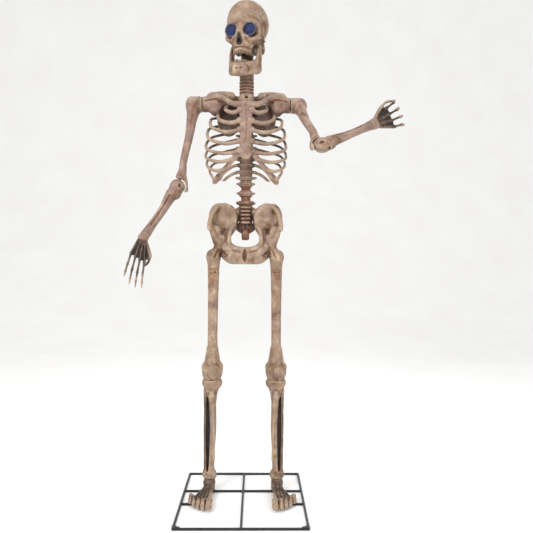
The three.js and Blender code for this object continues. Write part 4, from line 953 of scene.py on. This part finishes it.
def colour(code):
    """sRGB hex to linear, with alpha."""
    parts = [int(code[i:i + 2], 16) / 255 for i in (1, 3, 5)]
    return tuple(c / 12.92 if c <= 0.04045 else ((c + 0.055) / 1.055) ** 2.4 for c in parts) + (1.0,)


def per_mm(size):
    """Texture scale for features of this size in millimetres."""
    return 1000.0 / size


def ramp(tree, factor, stops):
    n = add(tree, "ShaderNodeValToRGB", {"Fac": factor})
    band = n.color_ramp
    while len(band.elements) < len(stops):
        band.elements.new(0.5)
    for element, (at, code) in zip(band.elements, stops):
        element.position = at
        element.color = colour(code)
    return n.outputs["Color"]


def noise(tree, at, size, detail=3.0, rough=0.55, twist=0.0):
    n = add(tree, "ShaderNodeTexNoise", {"Vector": at, "Scale": per_mm(size), "Detail": detail,
            "Roughness": rough,
                                         "Distortion": twist})
    return n.outputs["Fac"]


def fade(tree, value, low, high, to_low=0.0, to_high=1.0):
    n = add(tree, "ShaderNodeMapRange", {"Value": value, "From Min": low, "From Max": high, "To Min": to_low,
                                         "To Max": to_high}, interpolation_type="SMOOTHSTEP")
    return n.outputs["Result"]


def times(tree, a, b):
    return add(tree, "ShaderNodeMath", {0: a, 1: b}, operation="MULTIPLY").outputs[0]


def over(tree, factor, under, top):
    """Lays a colour over another by a factor."""
    n = add(tree, "ShaderNodeMix", {"Factor": factor}, data_type="RGBA")
    for key, value in ((6, under), (7, top)):
        if isinstance(value, str):
            n.inputs[key].default_value = colour(value)
        else:
            tree.links.new(value, n.inputs[key])
    return n.outputs[2]


def finish_of(name, **shader):
    m = bpy.data.materials.new(name)
    m.use_nodes = True
    tree = m.node_tree
    tree.nodes.clear()
    body = add(tree, "ShaderNodeBsdfPrincipled", shader)
    add(tree, "ShaderNodeOutputMaterial", {"Surface": body.outputs[0]})
    return m, tree, body, add(tree, "ShaderNodeTexCoord").outputs["Object"]


def bump(tree, height, distance_mm, strength=1.0):
    n = add(tree, "ShaderNodeBump", {"Height": height, "Distance": distance_mm * MM, "Strength": strength})
    return n.outputs["Normal"]


TAN = ("#5A4230", "#8A7058", "#A08A74", "#C0AA8A")
ROSE = ("#543C30", "#806656", "#967E70", "#B49D84")


def moulded_bone(name, shades, stained=False):
    """Blow-moulded polyethylene, sprayed in shades of bone, darker brown in the hollows (partly brown paint
    washed in, partly painted shade) and lighter on the high edges as a painted highlight:
    a soft satin sheen over cloudy tan, near-black in grooves, gaps and holes (dark paint deepened as painted
    shade in the shin groove and palm webs, painted shade elsewhere), with painted shade over shaded sides and
    insides."""
    m, tree, body, at = finish_of(name, **{"IOR": 1.5, "Specular IOR Level": 0.35})
    cloud = noise(tree, at, 110, 6, 0.66, 0.5)
    base = ramp(tree, cloud, tuple(zip((0.32, 0.43, 0.55, 0.7), shades)))
    pink = fade(tree, noise(tree, at, 58, 4, 0.65), 0.44, 0.6)
    base = over(tree, times(tree, pink, 0.6), base, "#7F6860")
    attribute = {k: add(tree, "ShaderNodeAttribute", attribute_name=k).outputs["Fac"]
                 for k in ("hollow", "edge", "dark_paint_and_shade", "rust", "painted_shade")}
    # painted highlight: lighter on the sharp high edges
    painted_edge_highlight = fade(tree, attribute["edge"], 0.05, 0.32)
    base = over(tree, times(tree, painted_edge_highlight, 0.45), base, "#B59F84")
    patch = fade(tree, noise(tree, at, 38, 5, 0.65), 0.36, 0.62)
    # darker brown in the hollows: partly brown paint washed in on the figure, partly painted shade
    hollow_wash_and_shade = fade(tree, attribute["hollow"], 0.3, -0.3)
    base = over(tree, times(tree, times(tree, hollow_wash_and_shade, fade(tree, patch, 0.0, 1.0, 0.4, 1.0)), 0.85), base,
            "#55301B")
    drips = fade(tree, noise(tree, at, 24, 6, 0.7, 0.8), 0.56, 0.7)
    base = over(tree, times(tree, drips, 0.7 if stained else 0.55), base, "#64391D")
    if stained:
        brown = fade(tree, noise(tree, at, 44, 4, 0.6), 0.4, 0.62, 0.1, 0.85)
        base = over(tree, times(tree, attribute["rust"], brown), base, "#6C3A1C")
    rust = times(tree, attribute["rust"], fade(tree, noise(tree, at, 16, 4, 0.6), 0.32, 0.6, 0.3, 1.0))
    base = over(tree, times(tree, rust, 0.7 if not stained else 0.35), base, "#6B3515")
    speck = fade(tree, noise(tree, at, 7, 2, 0.5), 0.7, 0.76)
    base = over(tree, times(tree, speck, 0.5), base, "#5E412C")
    # painted shade: darker brown-grey where the painted-shade marks lie
    base = over(tree, times(tree, attribute["painted_shade"], fade(tree, patch, 0.0, 1.0, 0.55, 0.85)), base,
            "#3F2E28")
    # near-black where those marks lie: dark paint deepened as painted shade in the shin groove and palm webs,
    # painted shade in holes, gaps and under parts
    dark_paint_and_shade = times(tree, attribute["dark_paint_and_shade"], fade(tree, noise(tree, at, 12, 3, 0.6), 0.25, 0.5, 0.75, 1.0))
    base = over(tree, dark_paint_and_shade, base, "#191310")
    tree.links.new(base, body.inputs["Base Color"])
    tree.links.new(fade(tree, cloud, 0.3, 0.7, 0.62, 0.5), body.inputs["Roughness"])
    grain = add(tree, "ShaderNodeMath", {0: noise(tree, at, 9, 4, 0.6),
            1: times(tree, noise(tree, at, 2.2, 2), 0.35)},
                operation="ADD").outputs[0]
    tree.links.new(bump(tree, grain, 0.9, 0.6), body.inputs["Normal"])
    return m


def powder_coat():
    """Powder-coated mild steel: near-black, faintly pebbled, dull sheen with dusty patches."""
    m, tree, body, at = finish_of("powder_coated_steel", **{"Metallic": 0.0, "IOR": 1.5,
            "Specular IOR Level": 0.45})
    dust = fade(tree, noise(tree, at, 90, 4, 0.6), 0.45, 0.75)
    base = over(tree, times(tree, dust, 0.35), "#17171D", "#34343A")
    chip = fade(tree, noise(tree, at, 11, 2, 0.5), 0.74, 0.78)
    base = over(tree, times(tree, chip, 0.6), base, "#4C4A49")
    tree.links.new(base, body.inputs["Base Color"])
    tree.links.new(fade(tree, dust, 0, 1, 0.42, 0.6), body.inputs["Roughness"])
    tree.links.new(bump(tree, noise(tree, at, 1.6, 2), 0.12), body.inputs["Normal"])
    return m


def zinc_plate():
    """Zinc-plated steel: grey, satin, with cloudy crystal patches."""
    m, tree, body, at = finish_of("zinc_plated_steel", Metallic=1.0)
    cells = add(tree, "ShaderNodeTexVoronoi", {"Vector": at, "Scale": per_mm(7)}).outputs["Color"]
    grey = over(tree, times(tree, cells, 0.4), "#9B9C9E", "#C4C6C8")
    tree.links.new(grey, body.inputs["Base Color"])
    tree.links.new(fade(tree, noise(tree, at, 14), 0.3, 0.7, 0.3, 0.48), body.inputs["Roughness"])
    tree.links.new(bump(tree, noise(tree, at, 1.2), 0.05), body.inputs["Normal"])
    return m


def black_plastic():
    """Moulded ABS: black, fine spark-eroded texture, soft highlights."""
    m, tree, body, at = finish_of("black_abs", **{"IOR": 1.53, "Specular IOR Level": 0.5})
    scuff = fade(tree, noise(tree, at, 20, 5, 0.7), 0.55, 0.75)
    tree.links.new(over(tree, times(tree, scuff, 0.4), "#101014", "#26262B"), body.inputs["Base Color"])
    tree.links.new(fade(tree, scuff, 0, 1, 0.4, 0.6), body.inputs["Roughness"])
    tree.links.new(bump(tree, noise(tree, at, 1.5, 2), 0.1), body.inputs["Normal"])
    return m


def display_glass(name, low, high):
    """Switched-off liquid-crystal display behind acrylic: deep navy, glossy, the cells just showing."""
    m, tree, body, at = finish_of(name, **{"IOR": 1.49, "Specular IOR Level": 0.14})
    shade = fade(tree, noise(tree, at, 26, 2), 0.35, 0.65)
    tree.links.new(over(tree, shade, low, high), body.inputs["Base Color"])
    tree.links.new(fade(tree, noise(tree, at, 9), 0.3, 0.7, 0.36, 0.5), body.inputs["Roughness"])
    return m


BONE = moulded_bone("moulded_bone_polyethylene", TAN)
ROSY = moulded_bone("moulded_rosy_bone_polyethylene", ROSE)
STAINED = moulded_bone("stained_bone_polyethylene", ROSE, stained=True)
STEEL = powder_coat()
ZINC = zinc_plate()
BLACK = black_plastic()
DISPLAY = display_glass("display_acrylic", "#0E1534", "#141D44")
CELL = display_glass("display_cells", "#1A2654", "#243366")


# ---- what repeats or follows a path --------------------------------------------------------------


def grown(name, build, values, matrix=None):
    """Runs a Geometry Nodes tree on an empty mesh and keeps its result as a plain mesh at the origin."""
    tree = bpy.data.node_groups.new(name, "GeometryNodeTree")
    tree.interface.new_socket("Geometry", in_out="OUTPUT", socket_type="NodeSocketGeometry")
    sockets = {k: tree.interface.new_socket(k, in_out="INPUT",
            socket_type="NodeSocketInt" if isinstance(v, int)
                                            else "NodeSocketFloat") for k, v in values.items()}
    entry = tree.nodes.new("NodeGroupInput")
    leave = tree.nodes.new("NodeGroupOutput")
    tree.links.new(build(tree, {k: entry.outputs[k] for k in values}), leave.inputs[0])
    holder = bpy.data.objects.new(name, bpy.data.meshes.new(name))
    bpy.context.scene.collection.objects.link(holder)
    modifier = holder.modifiers.new(name, "NODES")
    modifier.node_group = tree
    for key, value in values.items():
        modifier[sockets[key].identifier] = value
    graph = bpy.context.evaluated_depsgraph_get()
    mesh = bpy.data.meshes.new_from_object(holder.evaluated_get(graph))
    holder.modifiers.remove(modifier)
    holder.data = mesh
    if matrix is not None:
        mesh.transform(Matrix([list(row) for row in matrix]))
    mesh.polygons.foreach_set("use_smooth", [True] * len(mesh.polygons))
    mesh.update()
    return holder


def metric(matrix):
    """A place in millimetres as one in metres."""
    m = np.array(matrix, float)
    m[:3, 3] *= MM
    return m


def ending(tree, geometry, material):
    real = add(tree, "GeometryNodeRealizeInstances", {0: geometry}).outputs[0]
    return add(tree, "GeometryNodeSetMaterial", {"Geometry": real, "Material": material}).outputs[0]


def teeth_tree(tree, i):
    """A row of single teeth round the arch of a jaw, each a little different."""
    arc = add(tree, "GeometryNodeCurveQuadraticBezier", {
        "Resolution": 64, "Start": (-64 * MM, -110 * MM, 0), "Middle": (0, -258 * MM, 0), "End": (64 * MM,
                -110 * MM, 0)})
    points = add(tree, "GeometryNodeCurveToPoints", {0: arc.outputs[0], "Count": i["Teeth"]}, mode="COUNT")
    box = add(tree, "GeometryNodeMeshCube", {"Size": (1, 1, 1)}).outputs[0]
    ball = add(tree, "GeometryNodeSubdivisionSurface", {0: box, "Level": 2}).outputs[0]
    spread = add(tree, "ShaderNodeCombineXYZ", {0: i["Width"], 1: i["Depth"], 2: i["Height"]}).outputs[0]
    odd = add(tree, "FunctionNodeRandomValue", {0: (0.9, 0.9, 0.86), 1: (1.06, 1.05, 1.1), "Seed": i["Seed"]},
              data_type="FLOAT_VECTOR").outputs[0]
    size = add(tree, "ShaderNodeVectorMath", {0: spread, 1: odd}, operation="MULTIPLY").outputs[0]
    turn = add(tree, "FunctionNodeAlignRotationToVector", {"Vector": points.outputs["Tangent"]},
            axis="X").outputs[0]
    rows = add(tree, "GeometryNodeInstanceOnPoints", {
        "Points": points.outputs["Points"], "Instance": ball, "Rotation": turn, "Scale": size}).outputs[0]
    return ending(tree, rows, BONE)


def ring_tree(material):
    """A soft-cornered ring."""
    def build(tree, i):
        path = add(tree, "GeometryNodeCurvePrimitiveCircle", {"Resolution": 72, "Radius": i["Radius"]},
                mode="RADIUS")
        square = add(tree, "GeometryNodeCurvePrimitiveQuadrilateral", {0: i["Width"], 1: i["Depth"]},
                mode="RECTANGLE")
        soft = add(tree, "GeometryNodeFilletCurve", {"Curve": square.outputs[0], "Radius": i["Rounding"],
                "Count": 4},
                   mode="POLY")
        ring = add(tree, "GeometryNodeCurveToMesh", {"Curve": path.outputs[0],
                "Profile Curve": soft.outputs[0]})
        return ending(tree, ring.outputs[0], material)
    return build


def display_tree(tree, i):
    """A shallow dome with square display cells standing a hair proud of it."""
    disc = add(tree, "GeometryNodeMeshCircle", {"Vertices": 64, "Radius": i["Radius"]},
            fill_type="TRIANGLE_FAN").outputs[0]
    fine = add(tree, "GeometryNodeSubdivideMesh", {"Mesh": disc, "Level": 4}).outputs[0]

    def domed(geometry, lift):
        place_now = add(tree, "GeometryNodeInputPosition").outputs[0]
        far = add(tree, "ShaderNodeVectorMath", {0: place_now}, operation="LENGTH").outputs["Value"]
        share = add(tree, "ShaderNodeMath", {0: far, 1: i["Radius"]}, operation="DIVIDE").outputs[0]
        square = times(tree, share, share)
        rise = add(tree, "ShaderNodeMath", {0: times(tree, square, i["Dome"]), 1: i["Dome"]},
                operation="SUBTRACT").outputs[0]
        up = add(tree, "ShaderNodeMath", {0: times(tree, rise, -1.0), 1: lift}, operation="ADD").outputs[0]
        move = add(tree, "ShaderNodeCombineXYZ", {2: up}).outputs[0]
        return add(tree, "GeometryNodeSetPosition", {0: geometry, "Offset": move}).outputs[0]

    lens = add(tree, "GeometryNodeSetMaterial", {0: domed(fine, 0.0), "Material": DISPLAY}).outputs[0]
    rim = times(tree, i["Radius"], 1.84)
    grid = add(tree, "GeometryNodeMeshGrid", {0: rim, 1: rim, 2: i["Cells"], 3: i["Cells"]}).outputs[0]
    at = add(tree, "GeometryNodeInputPosition").outputs[0]
    far = add(tree, "ShaderNodeVectorMath", {0: at}, operation="LENGTH").outputs["Value"]
    outside = add(tree, "FunctionNodeCompare", {0: far, 1: times(tree, i["Radius"], 0.9)},
            operation="GREATER_THAN").outputs[0]
    inside = add(tree, "GeometryNodeDeleteGeometry", {0: grid, 1: outside}, domain="POINT").outputs[0]
    tile = add(tree, "GeometryNodeMeshGrid", {0: i["Cell"], 1: i["Cell"], 2: 2, 3: 2}).outputs[0]
    tiles = add(tree, "GeometryNodeInstanceOnPoints", {0: domed(inside, 0.0004), "Instance": tile}).outputs[0]
    cells = ending(tree, tiles, CELL)
    both = add(tree, "GeometryNodeJoinGeometry")
    tree.links.new(cells, both.inputs[0])
    tree.links.new(lens, both.inputs[0])
    return both.outputs[0]


# ---- pieces --------------------------------------------------------------------------------------


def wear(piece, material, slot_name, body, *nodes):
    """Gives a finished piece its material and its body, and hides the CAD pieces that it stands for."""
    if material is not None:
        piece.data.materials.clear()
        piece.data.materials.append(material)
    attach(piece, body)
    if nodes:
        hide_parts(*nodes)
    return piece


def pair_of(make, node, relief=0.8):
    """The same clay for the left and, mirrored, for the right."""
    clay = make()
    for side in ("left", "right"):
        piece = skin(clay, f"{node}_{side}_shell", relief, mirror=side == "right")
        wear(piece, BONE, "bone", "stand", f"{node}_{side}")


def make_legs():
    pair_of(foot_clay, "foot")
    pair_of(shin_clay, "shin")
    pair_of(thigh_clay, "thigh", relief=1.0)
    pair_of(kneecap_clay, "kneecap")


def make_trunk():
    for make, node, material, slot_name in (
            (pelvis_clay, "pelvis", BONE, "bone"), (sacrum_clay, "sacrum", STAINED, "stained_bone"),
            (lumbar_clay, "lumbar_spine", STAINED, "stained_bone"), (neck_clay, "neck", STAINED,
                    "stained_bone"),
            (chest_front_clay, "chest_front", ROSY, "bone"), (chest_back_clay, "chest_back", ROSY, "bone")):
        wear(skin(make(), f"{node}_shell"), material, slot_name, "stand", node)


def make_arms():
    upper_clay, fore_clay = upper_arm_clay(), forearm_clay()
    for side in ("left", "right"):
        upper, fore, hand = arm_places(side)
        if side == "left":
            hand = hand @ np.array(Matrix.Rotation(math.radians(GRASP_TURN), 4, "Z"))
        wear(skin(upper_clay, f"upper_arm_{side}_shell", matrix=upper), ROSY, "bone", f"{side}_upper_arm",
             f"upper_arm_{side}")
        wear(skin(fore_clay, f"forearm_{side}_shell", matrix=fore), ROSY, "bone", f"{side}_forearm",
                f"forearm_{side}")
        wear(skin(hand_clay(side), f"hand_{side}_shell", 0.5, matrix=hand), ROSY, "bone", f"{side}_hand",
                f"hand_{side}")


def make_head():
    head = head_place()
    wear(skin(skull_clay(), "skull_shell", matrix=head), BONE, "bone", "head", "skull")
    wear(skin(jaw_clay(), "jaw_shell", matrix=head), BONE, "bone", "jaw", "jaw")
    for name, body, rise, width, seed in (("upper_teeth", "head", 142, 9.8, 5),
            ("lower_teeth", "jaw", 76, 9.0, 9)):
        row = head @ place((1, 0, 0), (0, 1, 0), (0, 0, 1), (0, 0, rise))
        sizes = {"Teeth": 14, "Width": width * 1.5 * MM, "Depth": 17 * MM, "Height": 38 * MM, "Seed": seed}
        teeth = grown(name, teeth_tree, sizes, metric(row))
        wear(teeth, None, "bone", body)
    for side, s in (("left", 1), ("right", -1)):
        eye = head @ place((1, 0, 0), (0, 0, 1), (0, -1, 0), (s * EYE_X, EYE_Y, EYE_Z))
        face = eye.copy()
        face[:3, 3] += eye[:3, 2] * 8
        glass = grown(f"eye_display_{side}_face", display_tree, {
            "Radius": 39 * MM, "Dome": 7 * MM, "Cells": 22, "Cell": 2.7 * MM}, metric(face))
        wear(glass, None, "eye_display", "head", f"eye_display_{side}")
        ring = grown(f"eye_bezel_{side}_ring", ring_tree(BLACK), {
            "Radius": 44 * MM, "Width": 11 * MM, "Depth": 26 * MM, "Rounding": 3 * MM}, metric(eye))
        wear(ring, None, "black_trim", "head", f"eye_bezel_{side}")


def dress(material, *words):
    """Gives the CAD pieces that stay, whose names hold one of these words, a finish."""
    for name, node in frame["nodes"].items():
        if any(word in name for word in words):
            node.data.materials.clear()
            node.data.materials.append(material)


make_legs()
make_trunk()
make_arms()
make_head()

dress(STEEL, "base_", "pole")
dress(ZINC, "axle", "battery_screw")
dress(BLACK, "button", "power_switch")
dress(BONE, "battery_door")
dress(ROSY, "elbow_pin")


# ---- camera, light and floor ---------------------------------------------------------------------


LENS, SENSOR = 35.8, 36.0
CAMERA_AT = (0.082, -3.949, 1.681)
CAMERA_PAN, CAMERA_ROLL = -1.13, 0.5
SKY = 0.88
LAMPS = (                       # name, place, aim, diameter, power
    ("key", (-3.2, -5.2, 5.6), (0, 0, 2.2), 3.0, 270), ("fill", (4.6, -4.4, 2.6), (0, 0, 1.6), 3.4, 110),
    ("back", (1.5, 4.5, 5.5), (0, 0, 2.4), 2.5, 60), ("top", (0, -0.5, 7.5), (0, 0, 1.0), 3.0, 50))


def make_camera():
    data = bpy.data.cameras.new("camera")
    data.lens = LENS
    data.sensor_width = SENSOR
    data.clip_end = 100
    camera = bpy.data.objects.new("camera", data)
    turn = Matrix.Rotation(math.radians(CAMERA_PAN), 4, "Z") @ Matrix.Rotation(math.radians(90), 4, "X")
    camera.matrix_world = (Matrix.Translation(CAMERA_AT) @ turn
                           @ Matrix.Rotation(math.radians(CAMERA_ROLL), 4, "Z"))
    bpy.context.scene.collection.objects.link(camera)
    bpy.context.scene.camera = camera


def soft_box(name, at, aim, size, power):
    """A round soft lamp, aimed."""
    data = bpy.data.lights.new(name, "AREA")
    data.shape = "DISK"
    data.size = size
    data.energy = power
    lamp = bpy.data.objects.new(name, data)
    lamp.location = at
    lamp.rotation_euler = (Vector(aim) - Vector(at)).to_track_quat("-Z", "Y").to_euler()
    bpy.context.scene.collection.objects.link(lamp)


def make_floor():
    """A sheet of paper that runs back and curves up behind."""
    half, back, rise, count = 16.0, 12.0, 14.0, 24
    outline = [(-14.0, 0.0), (back - 6, 0.0)]
    outline += [(back - 6 + 6 * math.sin(a), 6 - 6 * math.cos(a)) for a in np.linspace(0, math.pi / 2,
            count)[1:]]
    outline.append((back, rise))
    points = [(x, y, z) for y, z in outline for x in (-half, half)]
    faces = [(2 * i, 2 * i + 1, 2 * i + 3, 2 * i + 2) for i in range(len(outline) - 1)]
    mesh = bpy.data.meshes.new("studio_floor")
    mesh.from_pydata(points, [], faces)
    mesh.polygons.foreach_set("use_smooth", [True] * len(faces))
    floor = bpy.data.objects.new("studio_floor", mesh)
    bpy.context.scene.collection.objects.link(floor)
    m, tree, body, at = finish_of("studio_paper", Roughness=0.9)
    tone = noise(tree, at, 900, 2)
    tree.links.new(ramp(tree, tone, ((0.3, "#F4F3F2"), (0.7, "#F7F7F6"))), body.inputs["Base Color"])
    mesh.materials.append(m)


def make_light():
    bpy.context.scene.view_settings.view_transform = "Standard"
    world = bpy.data.worlds.new("studio")
    bpy.context.scene.world = world
    world.use_nodes = True
    world.node_tree.nodes["Background"].inputs[0].default_value = (1.0, 1.0, 1.0, 1.0)
    world.node_tree.nodes["Background"].inputs[1].default_value = SKY
    for lamp in LAMPS:
        soft_box(*lamp)


make_camera()
make_light()
make_floor()
